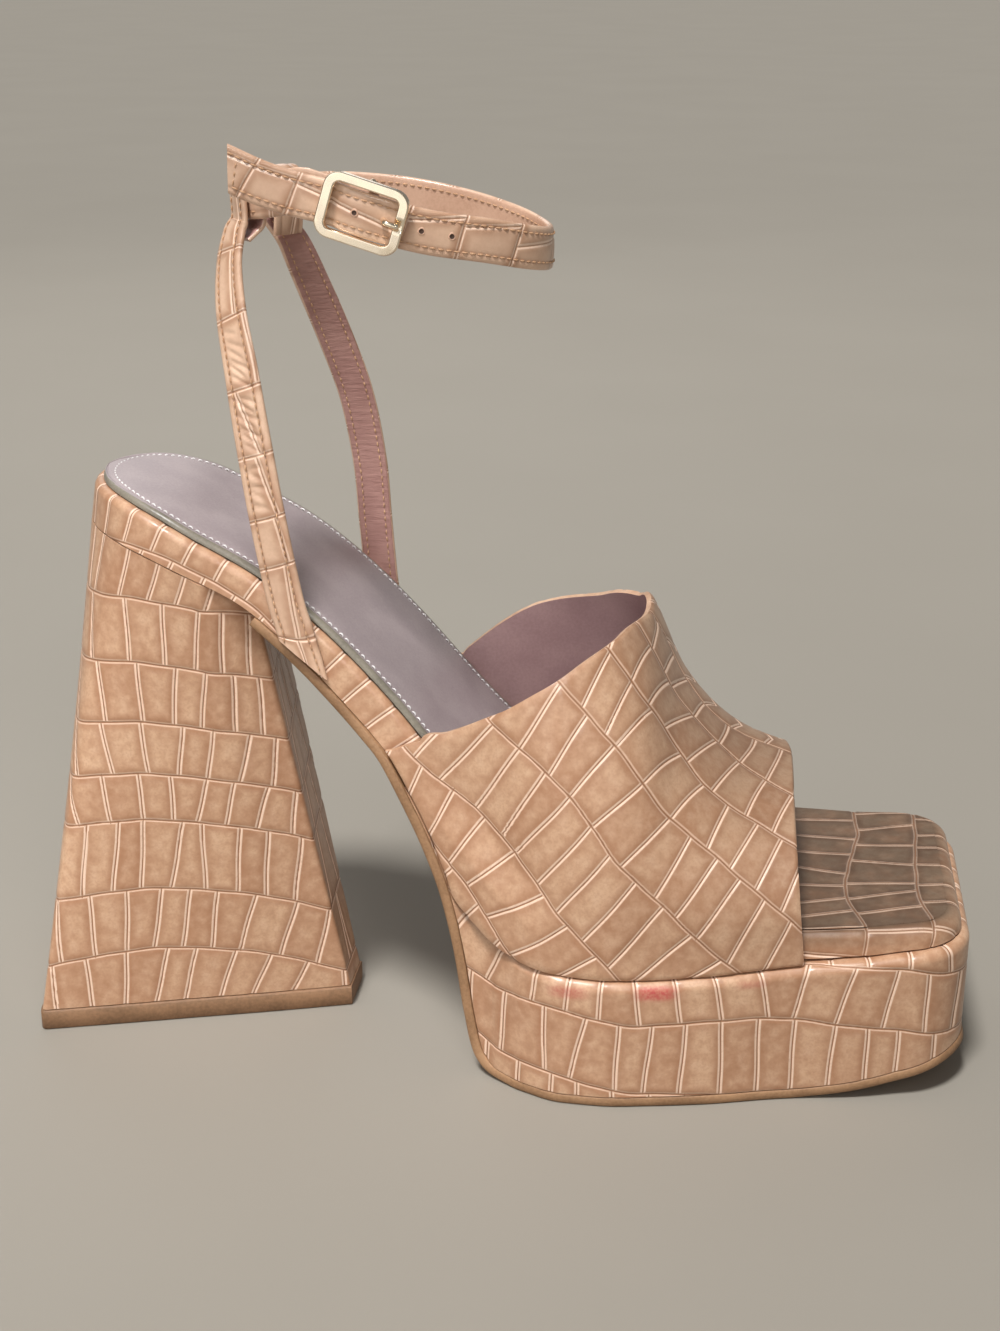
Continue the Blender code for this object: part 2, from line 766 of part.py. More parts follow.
def make_buckle_frame(material):
    wall = (FRAME_OUTER[0] - FRAME_INNER[0]) / 2
    low, high = FRAME_OUT
    section = (
        # inset from the outer outline, out
        (0.0, low), (0.0, high - FRAME_BEVEL), (FRAME_BEVEL, high),
        (wall - FRAME_BEVEL, high), (wall, high - FRAME_BEVEL), (wall, low),
    )
    outlines = []
    for inset, out in section:
        share = inset / wall
        size = [a + (b - a) * share for a, b in zip(FRAME_OUTER, FRAME_INNER)]
        corner = FRAME_CORNER - share * FRAME_CORNER_LOSS
        outlines.append([at_buckle(a, out, w) for a, w in rounded_rectangle(size, corner, 5)])
    count = len(outlines[0])
    points = [p for outline in outlines for p in outline]
    faces = []
    for r in range(len(outlines)):
        s = (r + 1) % len(outlines)
        for j in range(count):
            k = (j + 1) % count
            faces.append((r * count + j, r * count + k, s * count + k, s * count + j))
    frame = solid("buckle_frame", points, faces, material)
    reach = (FRAME_OUTER[1] + FRAME_INNER[1]) / 4
    half_bar = [(reach, high - BAR_SINK), (reach, BAR_BEND), (reach - BAR_BEND / 2, 0.0)]
    route = [(-w, o) for w, o in half_bar] + half_bar[::-1]
    bar = tube("buckle_bar", [at_buckle(0.0, o, w) for w, o in route], BAR_RADIUS, 10, material)
    boolean(frame, bar, "UNION")
    return frame


def make_buckle_prong(material):
    return tube("buckle_prong", spline([at_buckle(a, o) for a, o in PRONG], 2), PRONG_RADIUS, 8, material)


def make_riser(name, rows, loop_place, loop_end, material):
    """A strap that starts with a slanted end beside the footbed and folds over the ankle strap."""
    half = RISER_WIDTH / 2
    run = ankle_run()
    nearest = min(range(1, len(run) - 1), key=lambda i: (run[i] - loop_place).length)
    loop_centre = run[nearest]
    course = (run[nearest + 1] - run[nearest - 1]).normalized()
    away = Vector((-course.y, course.x, 0.0)).normalized()
    turn = math.atan2(-away.x, away.y) if away.y > 0 else math.atan2(away.x, -away.y)
    fold = [loop_centre + away * n + Vector((0.0, 0.0, z)) for n, z in LOOP_TURN + loop_end]
    centres = spline([Vector(row[:3]) for row in rows] + fold, 2)
    turns = through([(row[2], math.radians(row[3])) for row in rows], 1)
    widths = []
    for i, centre in enumerate(centres):
        tangent = (centres[min(i + 1, len(centres) - 1)] - centres[max(i - 1, 0)]).normalized()
        angle = turns(centre.z) if i < 2 * len(rows) else turn
        flat = Vector((math.cos(angle), math.sin(angle), 0.0))
        widths.append((flat - tangent * flat.dot(tangent)).normalized() * half)
    start = rows[0][0]
    slope = footbed_top(start + 1) - footbed_top(start)
    slant = Vector((1.0, 0.0, slope))
    lean = slant * (half / slant.dot(widths[0].normalized())) - widths[0]
    for i, share in enumerate(RISER_SHARES):
        widths[i] += lean * share
    straight = 2 * len(rows)
    thicknesses = [STRAP_THICKNESS] * straight + [FOLD_THICKNESS] * (len(centres) - straight)
    return ribbon(name, centres, widths, thicknesses, material)


def stand_on_centre(made):
    """Places all objects under one empty, so that the origin is under the middle of the shoe."""
    corners = np.array([v.co for part in made for v in part.data.vertices])
    low, high = corners.min(axis=0), corners.max(axis=0)
    root = bpy.data.objects.new("shoe", None)
    bpy.context.scene.collection.objects.link(root)
    root.location = (-(low[0] + high[0]) / 2, -(low[1] + high[1]) / 2, -low[2])
    for part in bpy.data.objects:
        if part is not root:
            part.parent = root


for old in list(bpy.data.objects):
    bpy.data.objects.remove(old, do_unlink=True)

leather = principled("embossed_leather", (0.50, 0.29, 0.16), 0.42)
sock = principled("sock_lining", (0.36, 0.27, 0.24), 0.55)
sole_edge = principled("sole_rubber", (0.28, 0.16, 0.07), 0.6)
gold = principled("polished_gold", (0.90, 0.72, 0.45), 0.18, 1.0)

parts = [
    make_footbed(leather),
    make_insole(sock),
    make_outsole(sole_edge),
    make_platform(leather),
    make_upper(leather),
    make_heel_block(leather),
    make_heel_lift(sole_edge),
    make_ankle_strap(leather),
    make_buckle_frame(gold),
    make_buckle_prong(gold),
    make_riser("riser_strap_lateral", RISER_OUTER, LOOP_OUTER, LOOP_END_OUTER, leather),
    make_riser("riser_strap_medial", RISER_INNER, LOOP_INNER, LOOP_END_INNER, leather),
]
stand_on_centre(parts)
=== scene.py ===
import math

import bmesh
import bpy
import numpy as np
from mathutils import Matrix, Vector


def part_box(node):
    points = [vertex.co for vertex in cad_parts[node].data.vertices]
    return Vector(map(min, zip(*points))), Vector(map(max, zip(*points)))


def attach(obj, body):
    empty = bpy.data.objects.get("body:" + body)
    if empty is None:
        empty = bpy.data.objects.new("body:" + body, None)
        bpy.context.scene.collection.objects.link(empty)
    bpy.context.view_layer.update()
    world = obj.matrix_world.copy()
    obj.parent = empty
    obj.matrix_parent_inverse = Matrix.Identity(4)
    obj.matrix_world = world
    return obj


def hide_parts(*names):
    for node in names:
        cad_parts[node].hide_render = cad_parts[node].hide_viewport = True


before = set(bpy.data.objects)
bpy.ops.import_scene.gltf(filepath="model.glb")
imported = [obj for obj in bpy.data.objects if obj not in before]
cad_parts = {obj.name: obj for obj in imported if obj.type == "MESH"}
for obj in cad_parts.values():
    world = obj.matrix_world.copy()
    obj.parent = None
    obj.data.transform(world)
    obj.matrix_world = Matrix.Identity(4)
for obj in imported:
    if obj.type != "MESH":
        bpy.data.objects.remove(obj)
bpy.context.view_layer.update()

# Sizes are in millimetres in the shoe's own frame: toe along +X, inner side along +Y, floor at z 0.
MM = 0.001
GAP = 0.3  # between neighbouring pieces
# The two sides are numbered by their columns in FOOTBED.
OUTER, INNER = 2, 3
SIDES = (OUTER, INNER)
SIGN = {OUTER: -1.0, INNER: 1.0}
STEP = 0.75  # between the points of a grid
SHARP_ANGLE = 55  # degrees
BUMP_STRENGTH = 0.6
ROUND_TURNS = np.linspace(0, math.pi / 2, 9)[1:]
PLAIN_CELL = np.array((0.5, 0.5, 0.0))
PLAIN_SIZE = np.array((40.0, 40.0, 0.0))

# Footbed
FOOTBED = (
    # x, top z, outer half-width, inner half-width, thickness
    (-102.5, 143.2, 28.6, 28.5, 10.5),
    (-92.0, 141.4, 28.6, 28.5, 10.0),
    (-82.0, 138.2, 28.6, 28.5, 9.3),
    (-70.0, 132.3, 28.7, 28.5, 8.3),
    (-56.0, 124.8, 29.6, 28.7, 7.6),
    (-42.0, 114.0, 30.9, 29.0, 7.9),
    (-26.0, 98.0, 32.0, 29.0, 8.4),
    (-10.0, 79.0, 34.0, 30.5, 8.4),
    (0.0, 67.8, 37.5, 32.5, 8.2),
    (10.0, 58.0, 43.0, 35.5, 7.8),
    (20.0, 51.0, 46.6, 38.5, 7.5),
    (30.0, 46.9, 47.0, 40.3, 7.3),
    (42.0, 44.6, 45.4, 41.0, 7.2),
    (55.0, 44.0, 43.0, 40.0, 7.2),
    (77.0, 44.0, 37.6, 37.5, 7.0),
    (92.0, 44.4, 36.0, 36.3, 6.3),
    (104.0, 44.8, 33.8, 37.0, 5.4),
    (116.0, 45.2, 32.6, 36.6, 4.8),
)
SEAT_BACK = -102.5
SEAT_CENTRE = -70.0
SEAT_TURNS = np.radians(np.arange(2, 90, 1.6))
TOE_END = 115.6
TOE_RADIUS = 12.0
TOE_FRONT = 60  # points across the front of the toe
FOOTBED_ROUNDING = 2.2
FOOTBED_ROWS = 10
UNDER_STEPS = 300
ROUNDING_LIMIT = 0.75
SOFT_TOE = (84.0, 20.0, 1.6)  # x where the rounding starts to grow, length of the change, growth
SOCK_INSET = 2.0
SOCK_THICKNESS = 1.3
SOCK_END = 62.0
SOCK_STEPS, SOCK_COLUMNS = 180, 81
SOCK_CROWN, CROWN_REACH = 0.35, 5.0
GROOVE_DEPTH, GROOVE_WIDTH = 0.3, 0.7
SOCK_EDGE_DROP, SOCK_EDGE_WIDTH = 0.7, 0.9
BINDING_WIDTH = 0.8
STITCH_INSET, STITCH_LIFT = 2.6, 0.12
STITCH_END = 2.0
SOCK_STITCH = (1.25, 0.6, 0.2)  # length, gap, radius

# Outsole and platform
SOLE_THICKNESS = 2.5
SOLE_PROFILE = ((0.5, 0.0), (0.0, 0.5), (0.0, SOLE_THICKNESS - 0.2), (0.2, SOLE_THICKNESS))  # inset, rise
SOLE_STEPS = 150
SHANK_STATIONS = (-52.2, -18.0, 8)  # first, last, count
SOLE_BACK = (
    # x, underside z, lead of the outline station ahead of x
    (-21.7, 72.4, 7.4), (-15.6, 59.2, 5.4), (-11.6, 48.0, 4.0), (-8.2, 33.0, 2.4), (-5.6, 16.0, 1.0),
    (-3.2, 5.6, 0.3), (1.5, 0.9, 0.0), (8.0, 0.0, 0.0),
)
SOLE_FRONT = (
    # x, underside z
    (8.0, 0.0), (40.0, 0.0), (74.0, 0.0), (84.0, 1.0), (92.0, 2.4), (106.0, 5.9), (119.0, 9.8),
)
RIM = (
    # x, overhang beyond the footbed
    (-70.0, 0.3), (-40.0, 0.4), (-30.0, 1.0), (-24.0, 2.0), (-12.0, 2.8), (0.0, 3.3), (20.0, 3.7),
    (118.0, 3.2),
)
LEDGE = (
    # x, ledge z
    (-28.0, 81.7), (-21.7, 76.0), (-15.5, 61.5), (-10.5, 52.0), (-6.7, 46.5), (-1.6, 42.0), (3.5, 38.5),
    (11.0, 35.8), (21.0, 34.3), (34.0, 33.8), (53.0, 34.5), (77.0, 36.1), (92.0, 37.5), (104.0, 38.9),
    (118.0, 39.9),
)
THIN_EDGE = 0.6
RIM_ROUNDING = 0.75
RIM_LIMIT = 0.8
LIP = 0.2
PLATFORM_REAR = -20.0
PLATFORM_ROWS = 48

# Vamp
WALL = 1.8
WALL_CLEARANCE = 0.85
WALL_SHARE = 0.16  # of the way from the ledge to the crest
WALL_RISE = 1.0
VAMP_FULLNESS = {OUTER: 2.3, INNER: 2.1}
VAMP_CREST = (
    # x, crest y, crest z
    (-30.0, 2.0, 215.0), (0.0, 3.0, 165.0), (20.0, 4.0, 136.0), (36.5, 5.0, 111.5), (45.0, 5.5, 92.5),
    (55.0, 6.0, 80.5), (62.0, 6.5, 75.6), (70.0, 7.0, 72.4), (80.0, 7.0, 69.8),
)
VAMP_EDGES = (
    # share of the girth from the outer side to the inner, collar x, toe edge x
    (-1.0, -24.8, 77.5), (-0.84, -16.4, 76.6), (-0.8, -10.1, 76.3), (-0.75, -4.0, 76.0),
    (-0.65, 6.0, 75.5), (-0.45, 21.4, 74.6), (-0.25, 31.2, 73.9), (0.0, 36.5, 73.4), (0.25, 33.9, 72.0),
    (0.45, 23.2, 70.4), (0.65, 2.9, 70.4), (0.8, -11.5, 71.0), (0.84, -15.4, 71.2), (1.0, -25.0, 72.2),
)
VAMP_GRID = (132, 240)
VAMP_SPAN = (-26, 81, 108)  # first x, last x, count
VAMP_EDGE_DROP = 0.4

# Heel
HEEL = (
    # outer footbed station, inner station, share of the half-width there, floor x, floor half-width
    (-102.35, -102.35, 1.0, -119.6, 5.0),
    (-102.0, -102.0, 1.0, -119.5, 12.0),
    (-101.0, -101.0, 1.0, -119.2, 19.0),
    (-99.4, -99.4, 1.0, -118.7, 25.5),
    (-97.2, -97.2, 1.0, -118.1, 30.4),
    (-94.4, -94.4, 1.0, -117.0, 32.4),
    (-91.0, -91.0, 1.0, -114.0, 31.7),
    (-87.0, -87.0, 1.0, -107.0, 29.4),
    (-82.5, -82.5, 1.0, -99.0, 26.8),
    (-78.0, -78.0, 1.0, -90.0, 23.8),
    (-73.5, -73.5, 1.0, -80.0, 20.4),
    (-69.5, -69.5, 1.0, -69.0, 16.8),
    (-66.0, -66.0, 1.0, -58.0, 13.1),
    (-54.5, -63.0, 0.72, -40.4, 6.9),
)
HEEL_FRONT_SHIFT = -2.85
HEEL_PIECES = 12
BREAST_SOFTENING = 3
LIFT_HEIGHT = 5.5
LIFT_OVERHANG = 0.4
OVERHANG_EASE = 0.4  # share of the length, either side of the middle, where it turns to the front
LIFT_PIECES = 6
LIFT_PROFILE = ((0.0, -0.5), (0.45, 0.0), (LIFT_HEIGHT - 0.4, 0.0), (LIFT_HEIGHT, -0.4))  # z, growth
HEEL_BACK_CORNER = 5  # row of HEEL

# Straps and buckle
FINE, COARSE = 32, 4  # pieces in each span of a strap's centre line, and where fewer will do
STRAP_THICKNESS = 1.6
STRAP_CROWN = 0.25
FACE_POINTS, BACK_POINTS, NOSE_POINTS = 21, 9, 6
SEAM_INSET, SEAM_DEPTH, SEAM_WIDTH = 1.8, 0.15, 0.3
STRAP_STITCH = (1.45, 0.4, 0.2)  # length, gap, radius
STITCH_RISE = 0.06
STITCH_POINTS, STITCH_TURN = 6, 60  # points along a stitch, degrees between those round it
END_SEAM_POINTS = 12
LINING_SEAM_END = 4  # spans from the free end where the lining's stitches stop
STITCH_ARCH, STITCH_SINK, STITCH_TIP = 1.5, 0.8, 0.12
ANKLE_WIDTH = 10.0
ANKLE_LOOP = (
    # x, y, z of the strap's centre line behind, inside, in front and outside the ankle
    (-54.0, -20.5, 213.4), (-60.0, -12.5, 212.4), (-62.0, -2.0, 211.0), (-60.0, 9.0, 209.8),
    (-53.5, 18.0, 209.3), (-43.0, 23.0, 209.2), (-28.0, 24.5, 208.0), (-13.0, 22.5, 205.6),
    (0.0, 16.5, 202.8), (8.0, 7.5, 200.8), (10.6, -3.0, 200.6), (7.4, -12.5, 202.0), (-2.0, -20.5, 204.6),
    (-13.0, -25.0, 206.6),
)
ANKLE_TAIL = (
    # x, y, z of the free end past the buckle
    (-45.0, -28.1, 215.4), (-52.0, -29.0, 217.8), (-58.2, -29.8, 220.6),
)
TAIL_SLANT = 2.1
BAR_CENTRE = np.array((-28.4, -25.5, 211.3))
ALONG = np.array(Vector((0.955, 0.0, -0.295)).normalized())
ACROSS = np.array(Vector((0.295, 0.0, 0.955)).normalized())
OUT = np.array((0.0, -1.0, 0.0))
BAR_RADIUS = 0.8
TUBE_PIECES, TUBE_TURN = 6, 30  # pieces in each span, degrees between the points round it
TUBE_STEEP = 0.9  # cosine to OUT beyond which a tube's sides start from ACROSS
DOME = np.radians((15, 40, 65))
EYE_THICKNESS = 0.9
EYE = (
    # along, out: the strap's end folded round the bar
    (-4.6, 1.1), (-2.6, 1.4), (0.0, 1.55), (1.1, 1.1), (1.55, 0.0), (1.1, -1.1), (0.0, -1.55),
    (-4.5, -1.25), (-9.0, -0.75), (-15.0, -0.6),
)
OVER_BAR = (
    # along, out: the strap passing through the buckle
    (7.8, 2.1), (4.0, 2.9), (0.0, 3.5), (-4.0, 3.15), (-7.8, 2.3),
)
STRAP_DROP = 0.3
FRAME_OUTER = (19.8, 14.9)
FRAME_INNER = (15.0, 10.7)
FRAME_OUT = (3.6, 5.3)
FRAME_CORNER = 3.6
FRAME_CORNER_LOSS = 2.2
FRAME_STEPS, CORNER_STEPS = 240, 8
FRAME_BEVEL = ((0.0, 0.42), (0.0, 0.36), (0.05, 0.18), (0.18, 0.05), (0.36, 0.0), (0.42, 0.0))  # inset, drop
FRAME_SHARP = 30
NOTCH_DEPTH, NOTCH_REACH = 0.35, 1.6
BAR_BEND, BAR_RISE, BAR_OVERLAP = 0.7, 1.0, 0.5
PRONG_RADIUS = 0.65
PRONG = (
    # along, out: from beside the eye, up through the strap's hole, onto the frame
    (2.8, 1.0), (4.1, 1.1), (4.7, 1.7), (5.0, 3.0), (5.15, 4.9), (5.6, 5.9), (6.6, 6.25), (8.3, 6.25),
)
RISER_WIDTH = 9.0
FOLD_THICKNESS = 1.2
RISER_OUTER = (
    # x, y, z, turn of the width direction in degrees
    (-44.6, -32.4, 106.6, 0.0),
    (-46.4, -32.5, 114.0, 0.0),
    (-48.4, -32.9, 122.0, -1.0),
    (-51.6, -33.4, 141.0, -4.0),
    (-54.6, -32.4, 160.0, -10.0),
    (-57.2, -30.0, 175.0, -18.0),
    (-60.0, -26.0, 188.0, -30.0),
    (-61.2, -21.5, 198.0, -42.0),
    (-60.4, -18.6, 205.0, -48.0),
)
RISER_INNER = (
    # x, y, z, turn of the width direction in degrees
    (-36.4, 30.5, 99.6, 0.0),
    (-37.4, 31.2, 107.0, 0.0),
    (-38.8, 32.0, 123.0, 2.0),
    (-39.9, 31.8, 139.0, 6.0),
    (-42.6, 29.6, 157.0, 14.0),
    (-47.0, 25.6, 173.0, 26.0),
    (-51.0, 20.5, 186.5, 40.0),
    (-54.6, 15.6, 198.0, 52.0),
)
LOOP_OUTER = (-58.5, -16.5, 213.0)
LOOP_INNER = (-56.5, 13.5, 210.5)
LOOP_TURN = (
    # away from the foot, up: over the ankle strap
    (1.9, -5.0), (1.9, 0.0), (1.9, 4.0), (1.2, 5.9), (-0.4, 6.5), (-2.0, 5.9), (-2.75, 4.0), (-2.75, 0.0),
    (-2.75, -4.2),
)
LOOP_END_OUTER = ((-2.2, -6.3), (-0.5, -7.8), (1.3, -9.2))
LOOP_END_INNER = ((-2.6, -6.6), (-2.2, -9.2))
RISERS = {
    OUTER: (RISER_OUTER, LOOP_OUTER, LOOP_END_OUTER),
    INNER: (RISER_INNER, LOOP_INNER, LOOP_END_INNER),
}

# Embossed scales. A row of scales lies between two long creases. Short dividers cross it, each given by
# its place on the row's first crease and on the next one.
ROW_SPREAD = 50  # keeps the columns of one row apart from those of the next
HEEL_ARCH = (-88.0, 0.0052)  # x of the middle, fall beside it by the square of the distance
HEEL_STEP = 8.8
# Dividers on the heel's back, as shares of the way from a corner to the middle, for every other row.
HEEL_BACK_SHARES = ((0.42, 0.81), (0.3, 0.65, 1.0))
HEEL_BACK_CLEARANCE = 4  # least distance before a row's first divider
HEEL_ROWS = (3.0, 21.6, 39.2, 58.8, 71.6, 85.6, 101.4, 117.8, 137.0, 155.0)
HEEL_DIVIDERS = (
    ((-113.4, -114.6), (-104.7, -105.9), (-97.0, -95.6), (-89.8, -85.2), (-82.8, -78.3), (-74.4, -68.6),
     (-66.9, -59.8), (-58.4, -50.6)),
    ((-112.0, -112.6), (-103.3, -103.8), (-95.4, -94.3), (-88.6, -85.5), (-81.6, -78.6), (-74.4, -72.0),
     (-67.5, -62.5), (-57.5, -52.5), (-48.4, -44.7)),
    ((-105.6, -103.4), (-97.8, -95.1), (-90.6, -88.9), (-83.2, -79.1), (-74.8, -74.5), (-67.0, -65.2),
     (-60.1, -58.5), (-53.1, -50.7)),
    ((-105.5, -109.0), (-97.2, -98.9), (-88.7, -89.4), (-81.3, -81.3), (-75.6, -72.3), (-68.6, -65.6),
     (-61.2, -57.8), (-52.8, -51.6)),
    ((-105.5, -107.5), (-95.8, -98.3), (-86.7, -87.9), (-79.1, -77.3), (-72.1, -69.9), (-64.3, -61.1),
     (-56.8, -55.3)),
    ((-106.5, -108.8), (-96.9, -98.6), (-87.2, -87.8), (-79.4, -77.9), (-72.6, -70.7), (-64.4, -64.2),
     (-58.2, -58.6)),
    ((-109.5, -111.0), (-100.2, -101.6), (-89.6, -90.1), (-80.6, -80.1), (-73.1, -71.1), (-66.5, -65.9),
     (-60.5, -60.5)),
    ((-100.4, -95.4), (-91.7, -86.3), (-83.8, -77.2), (-76.8, -70.0), (-69.5, -63.0)),
)
PLATFORM_STEP = 8.8
PLATFORM_END = 165.0
PLATFORM_MARGINS = (16.0, 14.0)  # rows below and above the creases
PLATFORM_CREASES = (
    # x, then z of the creases round the side from the lowest up
    (-20.0, 30.0, 50.0, 62.0),
    (-8.0, 16.0, 31.0, 49.0),
    (4.0, 9.2, 26.6, 39.5),
    (14.0, 8.4, 26.4, 37.0),
    (28.0, 5.6, 24.1, 36.2),
    (40.0, 3.6, 22.4, 36.2),
    (62.0, 2.6, 23.4, 36.8),
    (76.0, 2.2, 22.2, 37.8),
    (90.0, 2.6, 20.4, 36.6),
    (104.0, 4.0, 18.3, 35.0),
    (118.0, 6.5, 15.3, 31.2),
)
PLATFORM_DIVIDERS = (
    ((0.0, 0.5), (8.5, 8.9), (17.2, 17.5), (24.0, 23.8), (32.8, 32.4), (41.5, 41.5), (50.0, 50.3)),
    ((-4.5, -3.6), (4.1, 5.4), (15.7, 15.5), (21.9, 25.8), (33.1, 33.8), (40.0, 41.8), (48.7, 49.9),
     (58.6, 58.3), (67.4, 67.2), (75.6, 75.9), (84.5, 85.7), (93.7, 93.6), (101.0, 101.2), (110.0, 110.2)),
    ((0.3, 5.0), (12.2, 13.6), (20.6, 21.9), (28.7, 29.6), (38.7, 37.4), (48.6, 46.6), (58.5, 56.1),
     (69.4, 67.1), (75.4, 79.0), (85.6, 89.9), (97.1, 100.1), (107.5, 107.5), (114.8, 115.8)),
    ((75.0, 75.0), (84.0, 84.0), (93.0, 93.2), (102.8, 103.6), (113.1, 112.0), (122.0, 122.0)),
)
VAMP_TURN = math.radians(44)
VAMP_CREASES = (
    # place along the rows, then places of the creases across them from the outer side upwards
    (-65.0, 36.0, 48.2, 69.8, 89.7, 104.0, 115.2, 124.5),
    (-45.0, 35.5, 52.0, 73.0, 88.8, 101.0, 111.6, 121.4),
    (-20.0, 32.0, 49.6, 69.4, 85.0, 97.0, 111.4, 129.0),
    (10.0, 30.0, 47.2, 68.4, 86.0, 100.6, 113.0, 131.0),
)
VAMP_FOLD = 0.12  # share of the girth that the pattern is mirrored about
VAMP_FIRST_ROW = 14.0
VAMP_FAR_ROWS = (14.0, 28.0)
VAMP_FAR_STEP, VAMP_FAR_COUNT = 8.6, 20
VAMP_FAR_START, VAMP_FAR_SHIFT, VAMP_FAR_LEAN = -150.0, 3.7, 6.0
VAMP_PAINTED_SHADE = (0.6, 0.8, 10.0, 50.0, 0.25)  # painted shade towards the crest and front: strength, power, first x, length of its rise, least share
VAMP_DIVIDERS = (
    ((-44.0, -45.5), (-34.0, -35.0), (-24.0, -25.5)),
    ((-64.0, -68.3), (-54.7, -59.0), (-46.8, -49.9), (-40.1, -39.6), (-31.7, -27.6), (-21.4, -18.4),
     (-12.0, -8.0)),
    ((-71.0, -73.0), (-62.9, -64.9), (-52.7, -57.2), (-44.1, -49.4), (-39.3, -41.2), (-30.6, -32.6),
     (-22.6, -24.6), (-13.2, -15.3), (-4.0, -6.2), (2.8, 3.9)),
    ((-66.5, -70.0), (-57.1, -61.7), (-48.2, -52.3), (-41.2, -42.7), (-32.4, -31.2), (-20.6, -20.5),
     (-9.1, -13.6), (-2.1, -5.0), (5.5, 2.6), (15.9, 10.5), (26.0, 19.1)),
    ((-63.5, -69.0), (-54.3, -59.9), (-45.9, -51.2), (-42.3, -43.1), (-31.2, -31.1), (-20.2, -21.7),
     (-8.4, -13.9), (-0.9, -5.0), (7.3, 2.5), (15.8, 10.0)),
    ((-60.5, -67.0), (-51.3, -57.8), (-44.4, -49.8), (-38.2, -41.2), (-28.7, -32.7), (-19.1, -24.2),
     (-8.6, -15.1), (-0.3, -6.6), (8.0, 1.0)),
    ((-64.5, -75.0), (-57.1, -67.7), (-51.8, -60.8), (-48.7, -54.6), (-40.8, -47.0), (-31.6, -39.5),
     (-23.8, -32.5), (-14.9, -25.3), (-6.0, -18.0)),
)
TOE_CREASES = (
    # y, then x of the two creases across the toe
    (-35.0, 92.1, 108.9), (-25.0, 89.5, 107.2), (-16.0, 87.7, 105.5), (-9.0, 87.6, 105.3),
    (-2.0, 88.6, 105.6), (10.0, 90.6, 106.4), (20.0, 91.7, 106.8), (31.0, 91.4, 107.2),
)
TOE_FIRST, TOE_LAST = 74.0, 126.0  # x of the creases before and after those two
TOE_PAINTED_SHADE_FADE = 6.0  # distance down the edge over which the toe top's painted shade fades
TOE_DIVIDERS = (
    ((-35.8, -33.4), (-29.6, -24.7), (-22.4, -18.0), (-11.9, -11.4), (-1.3, -4.6), (7.9, 6.6), (17.9, 15.9),
     (27.5, 28.0), (36.5, 37.0)),
    ((-34.6, -31.8), (-26.5, -21.3), (-18.7, -13.0), (-10.2, -8.9), (3.1, 1.6), (12.6, 13.1), (21.8, 25.9),
     (32.1, 34.5)),
    ((-30.9, -26.0), (-19.4, -16.1), (-9.9, -7.5), (1.9, 1.4), (11.8, 13.3), (19.1, 22.5), (29.8, 29.5)),
)
BAND_FRONT = 66.0  # x where the toe's scales begin on the edge
BAND_CREASE = (
    # x, height of the crease along the footbed's edge
    (-102.0, -3.0), (-88.0, 0.5), (-76.0, 2.0), (-58.0, 1.8), (-46.0, 0.6), (-36.0, -3.0), (66.0, -3.0),
)
BAND_ROW, BAND_STEP = 15.0, 8.6
BAND_LEVEL = 6  # row of the grid that the columns are measured on
BAND_STARTS = ((0.0, 0.5), (3.0, 3.4))  # first divider of either row
STRAP_SLOPE = 0.2
STRAP_PRESS = 0.7
STRAP_MARGINS = (16.0, 20.0)  # beside the strap, beyond its end
# Steps to further creases and the two places of their lines, each with its change from one to the next.
NEXT_LINE = ((13.0, 1.5), (2.8, -1.6), (0.6, 1.2))
ANKLE_LINES = (
    # distance from the free end, line along the strap at this crease and at the next one, from the middle up
    (-10.0, 3.2, 3.2), (4.7, 3.2, 3.2), (15.2, 2.5, -1.6), (41.0, 2.0, 4.4), (54.3, 2.3, 4.4),
    (68.0, -0.4, 2.0), (82.0, 3.0, 1.0), (95.0, -1.0, 2.6),
)
RISER_LINES = (
    # distance up the strap, line along the strap at this crease and at the next one, from the middle forwards
    (-9.0, 2.4, 0.4), (5.4, 0.6, 2.4), (24.1, 3.2, 2.0), (35.8, 3.1, 0.4), (50.7, 1.5, -1.9),
    (66.2, 4.2, 4.2), (82.6, 1.7, 1.9), (98.2, 2.8, 0.6),
)
RISER_WRINKLES = (
    # distance up the strap, slope, middle across the strap, half-length, depth
    (38.4, -0.3, -0.8, 1.8, 0.32),
    (40.9, -0.6, -1.2, 1.5, 0.4),
    (43.2, -0.15, -0.6, 2.0, 0.44),
    (45.6, -0.5, -1.0, 1.7, 0.42),
    (47.9, 0.2, -0.6, 1.8, 0.4),
    (52.4, -0.7, 0.6, 2.2, 0.46),
    (54.3, -0.9, -0.4, 2.0, 0.55),
    (56.2, -0.6, 0.4, 2.5, 0.6),
    (58.2, -0.85, -0.6, 2.0, 0.55),
    (60.0, -0.5, 0.7, 2.2, 0.6),
    (61.9, -0.8, -0.2, 2.5, 0.55),
    (63.8, -0.4, 0.8, 1.8, 0.46),
    (67.9, -0.7, 0.2, 2.5, 0.5),
    (69.8, -0.95, -0.5, 2.0, 0.55),
    (71.8, -0.6, 0.5, 2.3, 0.5),
    (73.9, -0.8, -0.3, 2.0, 0.42),
    (76.2, -0.5, 0.4, 2.2, 0.36),
    (78.8, -0.3, -0.6, 1.7, 0.28),
)
WRINKLE_WIDTH = 0.55
CORNER = 0.9  # rounding of a scale's corners
CREASE_DEPTH = 0.28
CREASE_WIDTH, CREASE_FALL = 1.0, 2.5
ALONG_WAVE = (0.1, 3.1, 8.0)  # depth, length across, length along
ACROSS_WAVES = ((0.16, 4.3, 0.0), (0.08, 1.9, 1.0))  # depth, length, start
STAINS = (
    # x, z, half-length, half-height, strength
    (21.5, 31.0, 4.6, 1.5, 0.65),
    (42.5, 31.4, 4.6, 1.8, 1.2),
    (65.0, 32.6, 3.4, 1.0, 0.4),
)
STRAP_HOLES = (-1.5, 13.4, 20.4)  # distances in front of the bar
